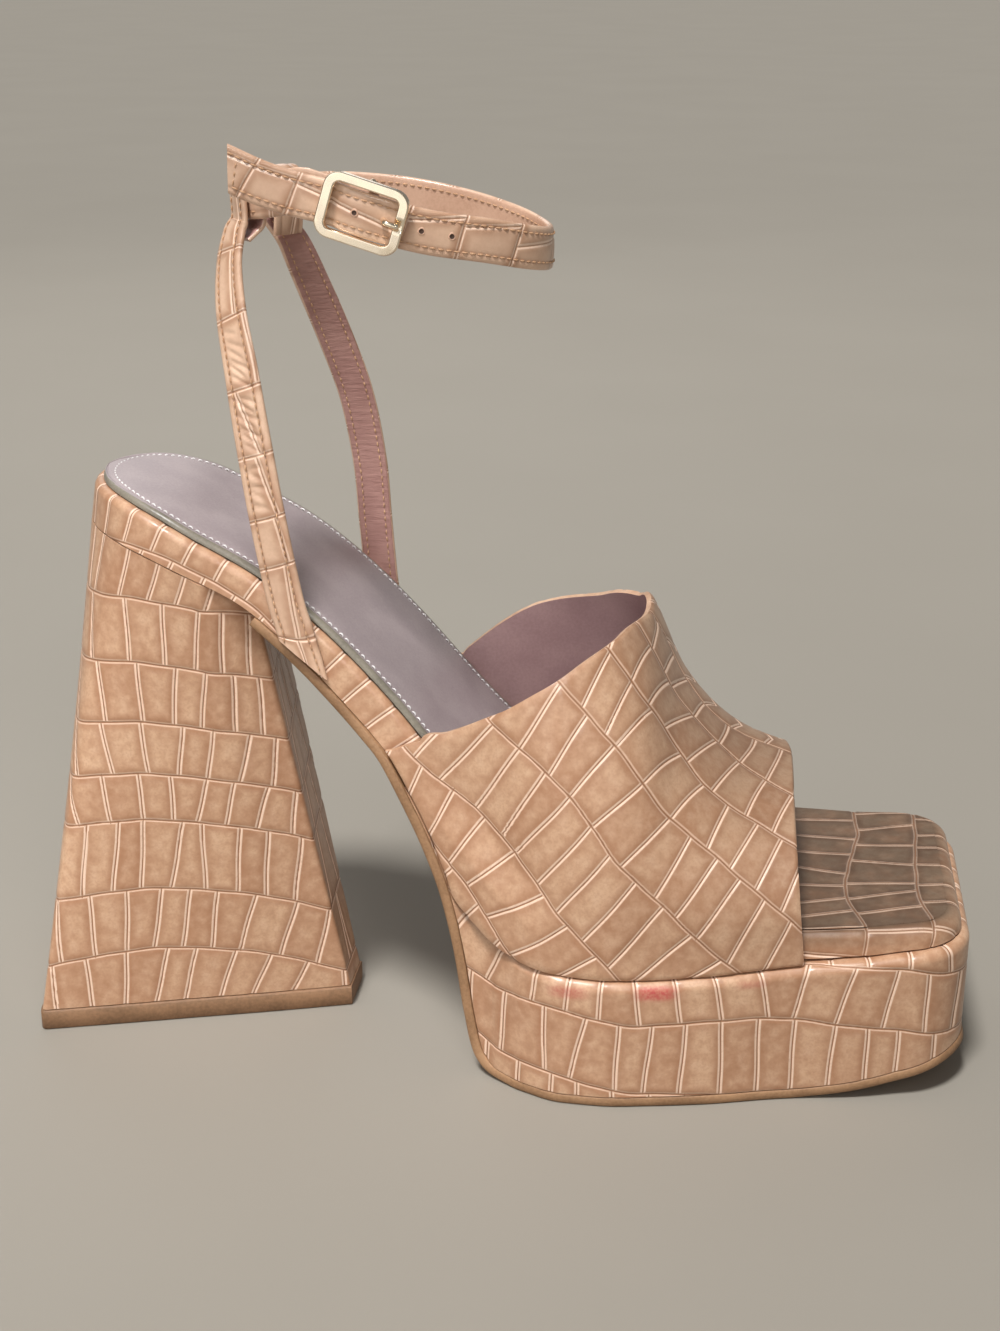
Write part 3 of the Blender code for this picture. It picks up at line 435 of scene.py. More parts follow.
HOLE_RINGS = ((0.02, 0.02), (0.5, 0.02), (0.58, 0.1), (0.72, 0.13), (0.95, -0.12))  # radius, rise
HOLE_RIM, HOLE_TEAR, HOLE_RISE = 0.6, 0.12, 0.25
HOLE_TURN = 24  # degrees
HOLE_KINDS = (1, 1, 0, 0)  # material between the rings: painted shadow inside, then the rim

# Looks
PLAIN_LOOKS = {
    # name: light and dark colour, roughness, grain, depth of the grain in metres, stretch of the grain
    "pink_lining": ((182, 140, 130), (158, 116, 108), 0.5, 500, 0.0003, (0.5, 0.5, 2.5)),
    "tan_lining": ((212, 172, 146), (192, 150, 124), 0.5, 1500, 0.00005),
    "smooth_lining": ((176, 144, 142), (158, 126, 126), 0.4, 1500, 0.00004),
    "taupe_sock": ((166, 152, 152), (148, 134, 135), 0.42, 1800, 0.00006),
    "grey_binding": ((136, 128, 114), (108, 102, 90), 0.35, 1500, 0.0001),
    "sole_rubber": ((164, 126, 92), (132, 98, 68), 0.6, 1200, 0.0001),
    "lift_rubber": ((142, 106, 76), (110, 80, 54), 0.6, 1200, 0.0001),
    "brown_thread": ((206, 166, 130), (174, 132, 98), 0.6, 4000, 0.0001),
    # painted shadow for the inside of a strap's hole
    "painted_hole_shadow": ((74, 52, 40), (52, 36, 28), 0.8, 3000, 0.00005),
    "pale_thread": ((240, 238, 236), (214, 210, 208), 0.6, 4000, 0.0001),
}
FLOOR_SIZE = 40.0
STUDIO_LIGHT = 0.32
LIGHTS = (
    # name, kind, place, aim, size as an angle or in metres, power, spread of an area lamp in degrees
    ("key", "SUN", (-0.14, -0.38, 0.91), (0.0, 0.0, 0.0), math.radians(11), 3.75, 0),
    ("front_fill", "AREA", (-0.42, -0.9, 0.42), (-0.06, 0.0, 0.09), 0.8, 0.95, 110),
    ("heel_fill", "AREA", (0.10, -0.45, 0.35), (-0.09, -0.02, 0.05), 0.2, 0.065, 36),
    ("back_fill", "AREA", (-0.4, 0.9, 0.8), (0.0, 0.0, 0.1), 0.8, 2.2, 180),
)

# Camera
CAMERA_PLACE = (58.9, -470.8, 272.5)
CAMERA_PITCH = 20.5
CAMERA_AZIMUTH = 7.3
FOCAL_PIXELS = 2000.0
IMAGE_HEIGHT = 1331.0
SENSOR = 36.0
CLIP_START = 0.01


def srgb(red, green, blue):
    """A colour as the eye's 0 to 255 values, turned into linear light."""
    share = np.array((red, green, blue)) / 255
    return tuple(np.where(share < 0.04045, share / 12.92, ((share + 0.055) / 1.055) ** 2.4)) + (1.0,)


def through(rows, column):
    """A smooth curve through one column of a table, with no overshoot between its rows."""
    table = np.array(rows, float)
    xs, ys = table[:, 0], table[:, column]
    steps = np.diff(xs)
    slopes = np.diff(ys) / steps
    product = slopes[:-1] * slopes[1:]
    same = product > 0
    inner = np.where(same, 2 * product / np.where(same, slopes[:-1] + slopes[1:], 1), 0)
    leans = np.concatenate(([slopes[0]], inner, [slopes[-1]]))

    def at(x):
        x = np.clip(x, xs[0], xs[-1])
        i = np.clip(np.searchsorted(xs, x) - 1, 0, len(steps) - 1)
        t = (x - xs[i]) / steps[i]
        left = (1 + 2 * t) * (1 - t) ** 2 * ys[i] + t * (1 - t) ** 2 * steps[i] * leans[i]
        right = t * t * (3 - 2 * t) * ys[i + 1] + t * t * (t - 1) * steps[i] * leans[i + 1]
        return left + right

    return at


footbed_top = through(FOOTBED, 1)
footbed_half = {side: through(FOOTBED, side) for side in SIDES}
footbed_thickness = through(FOOTBED, 4)
rim = through(RIM, 1)
ledge_height = through(LEDGE, 1)
sole_front = through(SOLE_FRONT, 1)
crest_y = through(VAMP_CREST, 1)
crest_z = through(VAMP_CREST, 2)
collar_x = through(VAMP_EDGES, 1)
toe_edge_x = through(VAMP_EDGES, 2)


def edge(side, x, grow=0.0):
    """Half-width of the footbed's outline at x, grown outwards: an ellipse at the seat, arcs at the toe."""
    radius = TOE_RADIUS + grow
    reach = np.clip((SEAT_CENTRE - x) / (SEAT_CENTRE - SEAT_BACK + grow), 0, 1)
    into = np.clip(x - (TOE_END - TOE_RADIUS), 0, radius)
    half = (footbed_half[side](x) + grow) * np.sqrt(1 - reach**2)
    return half - (radius - np.sqrt(radius**2 - into**2))


def below_footbed(station, depth):
    """The point (x, z) at a depth square to the footbed's top, under its centre line."""
    slope = footbed_top(station + 0.5) - footbed_top(station - 0.5)
    length = np.hypot(1.0, slope)
    return station + depth * slope / length, footbed_top(station) - depth / length


UNDER_STATION = np.linspace(SEAT_BACK, TOE_END, UNDER_STEPS)
UNDER_X, UNDER_Z = below_footbed(UNDER_STATION, footbed_thickness(UNDER_STATION))


def sole_line():
    """Columns x, underside z and lead of the outsole from the heel's breast to the toe."""
    stations = np.linspace(*SHANK_STATIONS)
    x, z = below_footbed(stations, footbed_thickness(stations) + GAP + SOLE_THICKNESS)
    rows = np.vstack((np.column_stack((x, z, stations - x)), SOLE_BACK))
    lengths = distances(rows[:, :2])
    back = np.column_stack(between(np.column_stack((lengths, rows)), np.linspace(0, lengths[-1], SOLE_STEPS)))
    xs = toe_stations(SOLE_FRONT[0][0] + STEP, rim(TOE_END))
    front = np.column_stack((xs, sole_front(xs), np.zeros(len(xs))))
    return np.vstack((back, front))


def toe_stations(first, grow):
    """Stations from first to the toe's front edge: evenly spaced, then by angle round the corners."""
    start = TOE_END - TOE_RADIUS
    radius = TOE_RADIUS + grow
    straight = np.linspace(first, start, max(2, round((start - first) / STEP)))
    turns = np.linspace(0, math.pi / 2, round(radius * math.pi / 2 / STEP))[1:]
    return np.concatenate((straight, start + radius * np.sin(turns)))


def lifted(line, distance):
    """The outsole's line moved up and forwards, square to itself."""
    dx, dz = np.gradient(line[:, 0]), np.gradient(line[:, 1])
    length = np.hypot(dx, dz)
    return np.column_stack((line[:, 0] - dz / length * distance, line[:, 1] + dx / length * distance))


def unit(vectors):
    return vectors / np.linalg.norm(vectors, axis=-1, keepdims=True)


def tangents(points):
    return unit(np.gradient(points, axis=0))


def stacked(*columns):
    return np.stack(np.broadcast_arrays(*columns), axis=-1)


def distances(points, axis=0):
    """How far along a line of points each one lies."""
    steps = np.linalg.norm(np.diff(points, axis=axis), axis=-1)
    first = np.zeros_like(np.take(steps, [0], axis=axis))
    return np.concatenate((first, np.cumsum(steps, axis=axis)), axis=axis)


def between(table, values):
    """The columns after the first, read off smoothly at values of the first column."""
    return [through(table, column)(values) for column in range(1, len(table[0]))]


def read_off(where, way, points):
    """Points at given distances along a line of points."""
    return np.stack([np.interp(where, way, column) for column in points.T], axis=-1)


def rings_round(centre, side, over, radius, step):
    """Circles of points, step degrees apart, round the points of a path."""
    turns = np.radians(np.arange(0, 360, step))[:, None]
    spokes = side[..., None, :] * np.cos(turns) + over[..., None, :] * np.sin(turns)
    return centre[..., None, :] + spokes * radius[..., None, None]


SOLE = sole_line()
ABOVE_SOLE = lifted(SOLE, SOLE_THICKNESS + GAP)
SOLE_HALF = {side: edge(side, SOLE[:, 0] + SOLE[:, 2], rim(SOLE[:, 0])) for side in SIDES}


def shelf_height(x):
    """Height of the ledge at x: the platform's rim, or a thin edge on the outsole where it tails off."""
    return np.maximum(ledge_height(x), np.interp(x, *ABOVE_SOLE.T) + THIN_EDGE)


def spline(points, pieces):
    """Points on a smooth curve through the given ones, with some pieces in each span."""
    points = np.array(points, float)
    ends = np.vstack((2 * points[0] - points[1], points, 2 * points[-1] - points[-2]))
    t = (np.arange(pieces) / pieces)[None, :, None]
    a, b, c, d = (ends[k:len(ends) - 3 + k, None] for k in range(4))
    bend = (2 * a - 5 * b + 4 * c - d) * t**2 + (3 * b - a - 3 * c + d) * t**3
    curve = 0.5 * (2 * b + (c - a) * t + bend)
    return np.vstack((curve.reshape(-1, points.shape[1]), points[-1]))


def rising(value, marks):
    """How many marks each value has passed, with its share of the way to the next, and that way's length."""
    marks = np.stack(np.broadcast_arrays(*marks, value)[:-1])
    widths = np.diff(marks, axis=0)
    count = np.clip((value - marks[:-1]) / widths, 0, 1).sum(axis=0)
    count += np.minimum(value - marks[0], 0) / widths[0] + np.maximum(value - marks[-1], 0) / widths[-1]
    cell = np.clip(np.floor(count).astype(int), 0, len(widths) - 1)
    return count, np.take_along_axis(widths, cell[None], axis=0)[0]


def to_nearest(count, width):
    """Distance from the nearest whole count."""
    return (0.5 - np.abs(count - np.floor(count) - 0.5)) * width


def corners(values):
    """Values at the four corners of each face of a grid."""
    return np.stack((values[:-1, :-1], values[:-1, 1:], values[1:, 1:], values[1:, :-1]), axis=-1)


class Scales:
    """Embossed scales on a grid: creases bound its rows, dividers cross them."""

    def __init__(self, along, across, creases, dividers, stain=0.0, shade=0.0):
        along, across = np.broadcast_arrays(along, across)
        self.dividers = dividers
        depth, over, ahead = ALONG_WAVE
        along = along + depth * np.sin(across / over + along / ahead)
        for depth, length, start in ACROSS_WAVES:
            across = across + depth * np.sin(along / length + start)
        v, tall = rising(across, creases)
        u, wide = self.columns(along, v, np.floor(v))
        inside = (np.maximum(CORNER - to_nearest(*pair), 0) for pair in ((u, wide), (v, tall)))
        self.edge = CORNER - np.hypot(*inside)
        along, v, tall = corners(along), corners(v), corners(tall)
        row = np.floor(v.mean(axis=-1, keepdims=True)) + np.zeros_like(v)
        u, wide = self.columns(along, v, row)
        self.cells = stacked(u, v, corners(stain + np.zeros_like(across)))
        self.sizes = stacked(wide, tall, corners(shade + np.zeros_like(across)))

    def columns(self, along, v, row):
        """Column coordinate, whole at the dividers of each point's row, and the column's width."""
        u, wide = np.zeros_like(along), np.ones_like(along)
        row = np.clip(row, 0, len(self.dividers) - 1)
        for r, dividers in enumerate(self.dividers):
            here = row == r
            if here.any():
                up = v[here] - r
                marks = [low + (high - low) * up for low, high in dividers]
                u[here], wide[here] = rising(along[here], marks)
                u[here] += ROW_SPREAD * r
        return u, wide


def carried_on(rows, first, last, step):
    """Rows of dividers, carried on upright at an even step to first and last."""
    made = []
    for row in rows:
        before = [(place, place) for place in np.arange(min(row[0]) - step, first, -step)]
        after = [(place, place) for place in np.arange(max(row[-1]) + step, last, step)]
        made.append([*before[::-1], *row, *after])
    return made


def normals_of(points, closed):
    """Outward directions at the points of a grid whose outside faces away from its middle."""
    wide = np.concatenate((points[:, -1:], points, points[:, :1]), axis=1) if closed else points
    across = np.gradient(wide, axis=1)
    across = across[:, 1:-1] if closed else across
    made = unit(np.cross(across, np.gradient(points, axis=0)) + 1e-12)
    middle = points.reshape(-1, 3).mean(axis=0)
    return made * np.sign(((points - middle) * made).sum())


class Shell:
    """Points and faces of one piece, with cell coordinates at its corners and a material on each face."""

    def __init__(self):
        self.points, self.faces, self.cells, self.sizes, self.kinds = [], [], [], [], []
        self.count = 0

    def grid(self, points, scales=None, closed=False, kind=0):
        """Adds rows by columns of points; a closed grid joins its last column to its first."""
        rows, columns = points.shape[:2]
        spans = columns if closed else columns - 1
        first = self.count
        r, c = (k.ravel() for k in np.meshgrid(np.arange(rows - 1), np.arange(spans), indexing="ij"))
        r = np.stack((r, r, r + 1, r + 1), axis=-1)
        c = np.stack((c, c + 1, c + 1, c), axis=-1)
        self.points.append(points.reshape(-1, 3))
        self.count += rows * columns
        self.faces += (first + r * columns + c % columns).tolist()
        blank = np.zeros((r.size, 3))
        self.cells.append(blank + PLAIN_CELL if scales is None else scales.cells.reshape(-1, 3))
        self.sizes.append(blank + PLAIN_SIZE if scales is None else scales.sizes.reshape(-1, 3))
        self.kinds += np.broadcast_to(kind, (rows - 1, spans)).ravel().tolist()
        return first + np.arange(rows * columns).reshape(rows, columns)

    def face(self, corner_points, kind=0):
        self.faces.append([int(k) for k in corner_points])
        self.cells.append(np.zeros((len(corner_points), 3)) + PLAIN_CELL)
        self.sizes.append(np.zeros((len(corner_points), 3)) + PLAIN_SIZE)
        self.kinds.append(kind)

    def ladder(self, first, second, kind=0):
        """Faces between two lines of equally many points."""
        for a, b, c, d in zip(first, first[1:], second[1:], second):
            self.face((a, b, c, d), kind)

    def tube(self, points, scales=None, kind=0):
        """Adds a closed grid with a face over either end."""
        index = self.grid(points, scales, True, kind)
        self.face(index[0])
        self.face(index[-1][::-1])

    def folded(self, points, scales=None):
        """Adds a grid that runs up one side and down the other, and fills the space between the two."""
        index = self.grid(points, scales)
        half = index.shape[1] // 2
        for row in (index[0], index[-1]):
            self.ladder(row[:half], row[::-1][:half])
        self.face(np.concatenate((index[:, 0], index[::-1, -1])))

    def join(self, first, second, kind=0):
        """Faces between the borders of two grids."""
        for border in (np.s_[0], np.s_[-1], np.s_[:, 0], np.s_[:, -1]):
            self.ladder(first[border], second[border], kind)

    def make(self, name, materials, node, sharp=SHARP_ANGLE):
        points = (np.vstack(self.points) + SHIFT) * MM
        mesh = bpy.data.meshes.new(name)
        mesh.from_pydata(points.tolist(), [], self.faces)
        for label, values in (("cells", self.cells), ("cell_size", self.sizes)):
            layer = mesh.attributes.new(label, "FLOAT_VECTOR", "CORNER")
            layer.data.foreach_set("vector", np.vstack(values).astype(np.float32).ravel())
        for material in materials:
            mesh.materials.append(material)
        mesh.polygons.foreach_set("material_index", np.array(self.kinds, np.int32))
        mesh.shade_smooth()
        made = bpy.data.objects.new(name, mesh)
        bpy.context.scene.collection.objects.link(made)
        face_outwards(mesh)
        mesh.set_sharp_from_angle(angle=math.radians(sharp))
        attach(made, "root")
        if node:
            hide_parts(node)
        return made


def face_outwards(mesh):
    work = bmesh.new()
    work.from_mesh(mesh)
    bmesh.ops.recalc_face_normals(work, faces=work.faces)
    work.to_mesh(mesh)
    work.free()


def pressed(points, edge_distance, closed=False, strength=1.0):
    """The grid with its creases pressed in."""
    depth = np.exp(-((np.maximum(edge_distance, 0) / CREASE_WIDTH) ** 2) * CREASE_FALL)
    return points - normals_of(points, closed) * (CREASE_DEPTH * strength * depth)[..., None]


def heel_outline(grow=0.0):
    """Floor points of the heel's outline from the inner breast edge round the back to the outer one."""
    table = np.array(HEEL)
    x, half = table[:, 3], table[:, 4]
    back, front = x[0], x[-1]
    centre = HEEL_FRONT_SHIFT * (x - back) / (front - back)
    x = x + grow * np.clip((x - 0.5 * (back + front)) / (OVERHANG_EASE * (front - back)), -1, 1)
    inner = np.column_stack((x, centre + half + grow))[::-1]
    outer = np.column_stack((x, centre - half - grow))
    return np.vstack((inner, outer))


SHIFT = np.array(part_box("heel_lift")[0]) / MM - np.append(heel_outline(LIFT_OVERHANG).min(axis=0), 0.0)


def heel_loops():
    """Closed floor and seat loops of the heel, and the columns of its back corners and its breast."""
    floor = np.column_stack((heel_outline(), np.full(2 * len(HEEL), LIFT_HEIGHT + GAP)))
    seat = []
    for side, rows, column in ((INNER, HEEL[::-1], 1), (OUTER, HEEL, 0)):
        for row in rows:
            x, z = below_footbed(row[column], footbed_thickness(row[column]) + GAP)
            seat.append((x, SIGN[side] * row[2] * edge(side, row[column]), z))
    low, high = spline(floor, HEEL_PIECES), spline(seat, HEEL_PIECES)
    middle = distances((low + high) / 2)
    even = np.linspace(0, middle[-1], round(middle[-1] / STEP))
    inner_back = np.searchsorted(even, middle[(len(HEEL) - 1 - HEEL_BACK_CORNER) * HEEL_PIECES])
    outer_back = np.searchsorted(even, middle[(len(HEEL) + HEEL_BACK_CORNER) * HEEL_PIECES])
    low, high = read_off(even, middle, low), read_off(even, middle, high)
    count = max(4, round(np.linalg.norm((low + high)[0] - (low + high)[-1]) / 2 / STEP))
    share = (np.arange(1, count) / count)[:, None]
    low, high = (np.vstack((line, line[-1] + (line[0] - line[-1]) * share)) for line in (low, high))
    return low, high, inner_back, outer_back, len(even) - 1


def make_heel(leather):
    low, high, inner_back, outer_back, breast = heel_loops()
    share = np.linspace(0, 1, round((high[:, 2] - low[:, 2]).mean() / STEP))[:, None, None]
    points = low + (high - low) * share
    for column in (breast, 0):
        around = [(column + k) % points.shape[1] for k in (-2, -1, 0, 1, 2)]
        for _ in range(BREAST_SOFTENING):
            near = points[:, around]
            near[:, 1:-1] = (near[:, :-2] + 2 * near[:, 1:-1] + near[:, 2:]) / 4
            points[:, around] = near
    loop = np.concatenate((points, points[:, :1]), axis=1)
    x = loop[..., 0]
    run = distances(loop, axis=1)
    less, more = x - run, x + run
    back, front = slice(inner_back, outer_back), slice(breast, None)
    along = x.copy()
    along[:, back] = np.maximum(less[:, [outer_back]] + run[:, back], more[:, [inner_back]] - run[:, back])
    along[:, front] = np.minimum(less[:, [breast]] + run[:, front], more[:, [-1]] - run[:, front])
    middle, arch = HEEL_ARCH
    across = loop[..., 2] + arch * (x - middle) ** 2
    half = (run[:, outer_back] - run[:, inner_back]) / 2
    dividers = carried_on(HEEL_DIVIDERS, 0.0, 0.0, HEEL_STEP)
    for number, row in enumerate(dividers):
        for share in HEEL_BACK_SHARES[number % 2]:
            line = x[:, outer_back] - share * half
            place = tuple(np.interp(HEEL_ROWS[number:number + 2], across[:, outer_back], line))
            if max(np.subtract(place, row[0])) < -HEEL_BACK_CLEARANCE:
                row.insert(0, place)
    scales = Scales(along, across, HEEL_ROWS, dividers)
    shell = Shell()
    shell.tube(pressed(points, scales.edge[:, :-1], True), scales)
    shell.make("heel_cover", [leather], "heel_block")


def make_lift(rubber):
    outline = spline(heel_outline(LIFT_OVERHANG), LIFT_PIECES)
    out = tangents(outline)[:, ::-1] * (1, -1)
    out *= np.sign((out * (outline - outline.mean(axis=0))).sum())
    rings = [np.column_stack((outline + out * grow, np.full(len(outline), z))) for z, grow in LIFT_PROFILE]
    shell = Shell()
    shell.tube(np.array(rings))
    shell.make("heel_top_piece", [rubber], "heel_lift")


def toe_outline(xs, halves):
    """Plan outline up the outer side, round the toe and down the inner side, directions out, stations."""
    outer = np.column_stack((xs, -halves[OUTER]))
    inner = np.column_stack((xs, halves[INNER]))
    ys = np.linspace(outer[-1, 1], inner[-1, 1], TOE_FRONT + 2)[1:-1]
    line = np.vstack((outer, np.column_stack((np.full(TOE_FRONT, xs[-1]), ys)), inner[::-1]))
    number = np.arange(len(xs))
    station = np.concatenate((number, np.full(TOE_FRONT, number[-1]), number[::-1]))
    return line, tangents(line)[:, ::-1] * (1, -1), station


def make_platform(leather):
    keep = ABOVE_SOLE[:, 0] >= PLATFORM_REAR
    xs = ABOVE_SOLE[keep, 0]
    line, out, station = toe_outline(xs, {side: SOLE_HALF[side][keep] for side in SIDES})
    x = xs[station]
    low = ABOVE_SOLE[keep, 1][station]
    high = shelf_height(x)
    rounding = np.minimum(RIM_ROUNDING * rim(x), RIM_LIMIT * (high - low))
    ledge = np.maximum(rounding + LIP, rim(x) + GAP) - rounding
    wall = high - rounding
    rows = [(0 * x, low + (wall - low) * t, low + (wall - low) * t) for t in np.linspace(0, 1, PLATFORM_ROWS)]
    for turn in ROUND_TURNS:
        inset, drop = rounding * (1 - math.cos(turn)), rounding * (1 - math.sin(turn))
        rows.append((inset, high - drop, wall + rounding * turn))
    for t in (0.5, 1.0):
        rows.append((rounding + ledge * t, high, high + rounding * (math.pi / 2 - 1) + ledge * t))
    insets, heights, runs = np.array(rows).transpose(1, 0, 2)
    plan = line - out * insets[..., None]
    points = stacked(plan[..., 0], plan[..., 1], heights)
    way = distances(line)
    ahead = np.minimum(way - way[len(xs) - 1], way[-len(xs)] - way)
    along = np.where(ahead > 0, xs[-1] + ahead, x)
    creases = between(PLATFORM_CREASES, along)
    creases = [creases[0] - PLATFORM_MARGINS[0], *creases, creases[-1] + PLATFORM_MARGINS[1]]
    stain = 0.0
    for sx, sz, half_length, half_height, strength in STAINS:
        spread = np.exp(-((x - sx) / half_length) ** 4 - ((runs - sz) / half_height) ** 4)
        stain = stain + strength * spread * (points[..., 1] < 0)
    dividers = carried_on(PLATFORM_DIVIDERS, min(PLATFORM_DIVIDERS[0][0]), PLATFORM_END, PLATFORM_STEP)
    scales = Scales(along, runs, creases, dividers, stain)
    shell = Shell()
    shell.folded(pressed(points, scales.edge), scales)
    shell.make("platform_cover", [leather], "platform")


def make_outsole(rubber):
    line, out, station = toe_outline(SOLE[:, 0], SOLE_HALF)
    rows = []
    for inset, rise in SOLE_PROFILE:
        x, z = lifted(SOLE, rise)[station].T
        plan = line - out * inset
        rows.append(np.column_stack((plan[:, 0] + x - SOLE[station, 0], plan[:, 1], z)))
    shell = Shell()
    shell.folded(np.array(rows))
    shell.make("outsole_sheet", [rubber], "outsole")


def seat_stations(grow=0.0):
    """Stations round the back of the seat, by angle."""
    reach = SEAT_CENTRE - SEAT_BACK + grow
    return SEAT_CENTRE - reach * np.cos(SEAT_TURNS)


def on_footbed(plan, depth):
    """Points of the footbed under plan points, at a depth square to its top."""
    x, z = below_footbed(plan[..., 0], depth)
    return stacked(x, plan[..., 1], z)


def toe_scales(plan, shade):
    """Scales across the toe, for points of the footbed's cover laid flat."""
    creases = [TOE_FIRST, *between(TOE_CREASES, plan[..., 1]), TOE_LAST]
    return Scales(plan[..., 1], plan[..., 0], creases, TOE_DIVIDERS, 0.0, shade)


def make_footbed(leather):
    xs = np.concatenate((seat_stations(), toe_stations(SEAT_CENTRE, 0.0)))
    line, out, _ = toe_outline(xs, {side: edge(side, xs) for side in SIDES})
    thick = footbed_thickness(line[:, 0])
    start, change, growth = SOFT_TOE
    soft = FOOTBED_ROUNDING + growth * np.clip((line[:, 0] - start) / change, 0, 1)
    soft = np.minimum(soft, ROUNDING_LIMIT * thick)
    rows, runs = [], []
    for t in np.linspace(0, 1, FOOTBED_ROWS):
        depth = thick + (soft - thick) * t
        rows.append(on_footbed(line, depth))
        runs.append(thick - depth)
    for turn in ROUND_TURNS:
        top = line - out * (soft * (1 - math.cos(turn)))[:, None]
        rows.append(on_footbed(top, soft * (1 - math.sin(turn))))
        runs.append(thick - soft + soft * turn)
    points = np.array(rows)
    ring = np.r_[0:len(line), 0]
    loop, runs = points[:, ring], np.array(runs)[:, ring]
    flat = top[ring] + out[ring] * (runs[-1] - runs)[..., None]
    crease = through(BAND_CREASE, 1)(line[ring, 0])
    way = distances(loop[BAND_LEVEL])
    dividers = [[(k + low, k + high) for k in np.arange(0, way[-1], BAND_STEP)] for low, high in BAND_STARTS]
    band = Scales(way, runs, [crease - BAND_ROW, crease, crease + BAND_ROW], dividers)
    # Painted shade on the toe's top, fading down its edge.
    toe = toe_scales(flat, np.clip(1 - (runs[-1] - runs) / TOE_PAINTED_SHADE_FADE, 0, 1))
    front = line[ring, 0] > BAND_FRONT
    ahead = front[:-1, None, None]
    band.edge = np.where(front, toe.edge, band.edge)
    band.cells, band.sizes = np.where(ahead, toe.cells, band.cells), np.where(ahead, toe.sizes, band.sizes)
    shell = Shell()
    under = shell.grid(pressed(points, band.edge[:, :-1], True), band, True)[0]
    half = len(xs)
    share = np.linspace(0, 1, 2 * TOE_FRONT + 2)[:, None]
    plate = np.array([top[i] + (top[-1 - i] - top[i]) * share for i in range(half)])
    # Full painted shade on the toe's top plate.
    scales = toe_scales(plate, 1.0)
    surface = pressed(on_footbed(plate, 0.0), scales.edge)
    surface[:, 0], surface[:, -1] = points[-1, :half], points[-1, ::-1][:half]
    shell.grid(surface, scales)
    half += TOE_FRONT // 2
    shell.ladder(under[:half], under[::-1][:half])
    shell.make("footbed_cover", [leather], "footbed")


def vamp_foot(x):
    """Height of the vamp's lower edge, clear of the ledge."""
    slope = shelf_height(x + 0.5) - shelf_height(x - 0.5)
    return shelf_height(x) + GAP * np.hypot(1.0, slope)


def vamp_points(x, girth):
    """Points of the vamp's outer face: an upright wall beside the footbed, then an arch to the crest."""
    x, girth = np.broadcast_arrays(x, girth)
    share = 1 - np.abs(girth)
    base = footbed_top(x) + WALL_RISE
    offset = WALL + WALL_CLEARANCE
    foot = vamp_foot(x)
    wall_z = foot + (base - foot) * share / WALL_SHARE
    depth = np.minimum(1.0, (base - wall_z) / (base - np.interp(x, UNDER_X, UNDER_Z)))
    lead = (np.interp(x, UNDER_X, UNDER_STATION) - x) * depth
    turn = 0.5 * math.pi * np.clip((share - WALL_SHARE) / (1 - WALL_SHARE), 0, 1)
    middle = crest_y(x)
    made = {}
    for side in SIDES:
        half = edge(side, x) + offset - SIGN[side] * middle
        across = np.maximum(0.0, np.cos(turn)) ** (2 / VAMP_FULLNESS[side])
        up = np.sin(turn) ** (2 / VAMP_FULLNESS[side])
        arch = stacked(x, middle + SIGN[side] * half * across, base + (crest_z(x) - base) * up)
        wall = stacked(x, SIGN[side] * (edge(side, x + lead) + offset), wall_z)
        made[side] = np.where((share < WALL_SHARE)[..., None], wall, arch)
    return np.where((girth < 0)[..., None], made[OUTER], made[INNER])


def vamp_girth(x, girth):
    """Height that a point of the vamp would have with its side unrolled into an upright sheet."""
    xs = np.linspace(*VAMP_SPAN)
    shares = np.linspace(-1, 1, VAMP_GRID[1] + 1)
    table = distances(vamp_points(xs[:, None], shares[None, :]), axis=1) + vamp_foot(xs)[:, None]
    column = (girth + 1) / 2 * (len(shares) - 1)
    row = np.clip((x - xs[0]) / (xs[1] - xs[0]), 0, len(xs) - 1.001)
    c, r = np.clip(column.astype(int), 0, len(shares) - 2), row.astype(int)
    fc, fr = column - c, row - r
    near, far = (table[k, c] * (1 - fc) + table[k, c + 1] * fc for k in (r, r + 1))
    return near * (1 - fr) + far * fr


def make_vamp(leather, lining):
    lengths, girths = VAMP_GRID
    girth = np.linspace(-1, 1, girths + 1)[None, :]
    u = np.linspace(0, 1, lengths + 1)[:, None]
    x = collar_x(girth) + (toe_edge_x(girth) - collar_x(girth)) * u
    girth = np.broadcast_to(girth, x.shape)
    outside = vamp_points(x, girth)
    normal = normals_of(outside, False)
    height = vamp_girth(x, VAMP_FOLD - np.abs(girth - VAMP_FOLD))
    cosine, sine = math.cos(VAMP_TURN), math.sin(VAMP_TURN)
    along, across = cosine * x - sine * height, sine * x + cosine * height
    creases = between(VAMP_CREASES, along)
    creases = [creases[0] - VAMP_FIRST_ROW, *creases, *(creases[-1] + far for far in VAMP_FAR_ROWS)]
    dividers = list(VAMP_DIVIDERS)
    for k in range(len(VAMP_FAR_ROWS)):
        starts = VAMP_FAR_START + VAMP_FAR_SHIFT * k + VAMP_FAR_STEP * np.arange(VAMP_FAR_COUNT)
        dividers.append([(start, start - VAMP_FAR_LEAN) for start in starts])
    # Painted shade: the vamp darker towards its crest and its front, on its upward faces.
    strength, power, start, rise, least = VAMP_PAINTED_SHADE
    shade = strength * (1 - np.abs(girth)) ** power * np.clip((x - start) / rise, least, 1)
    scales = Scales(along, across, creases, dividers, 0.0, shade)
    steps = (u * lengths, (1 - u) * lengths, (girth + 1) * girths / 2, (1 - girth) * girths / 2)
    rim_share = np.min(np.broadcast_arrays(*steps), axis=0) / 2
    drop = VAMP_EDGE_DROP * np.clip(1 - rim_share, 0, 1) ** 2
    shell = Shell()
    outer = shell.grid(pressed(outside, scales.edge) - normal * drop[..., None], scales)
    shell.join(outer, shell.grid(outside - normal * WALL, kind=1))
    shell.make("vamp", [leather, lining], "upper")


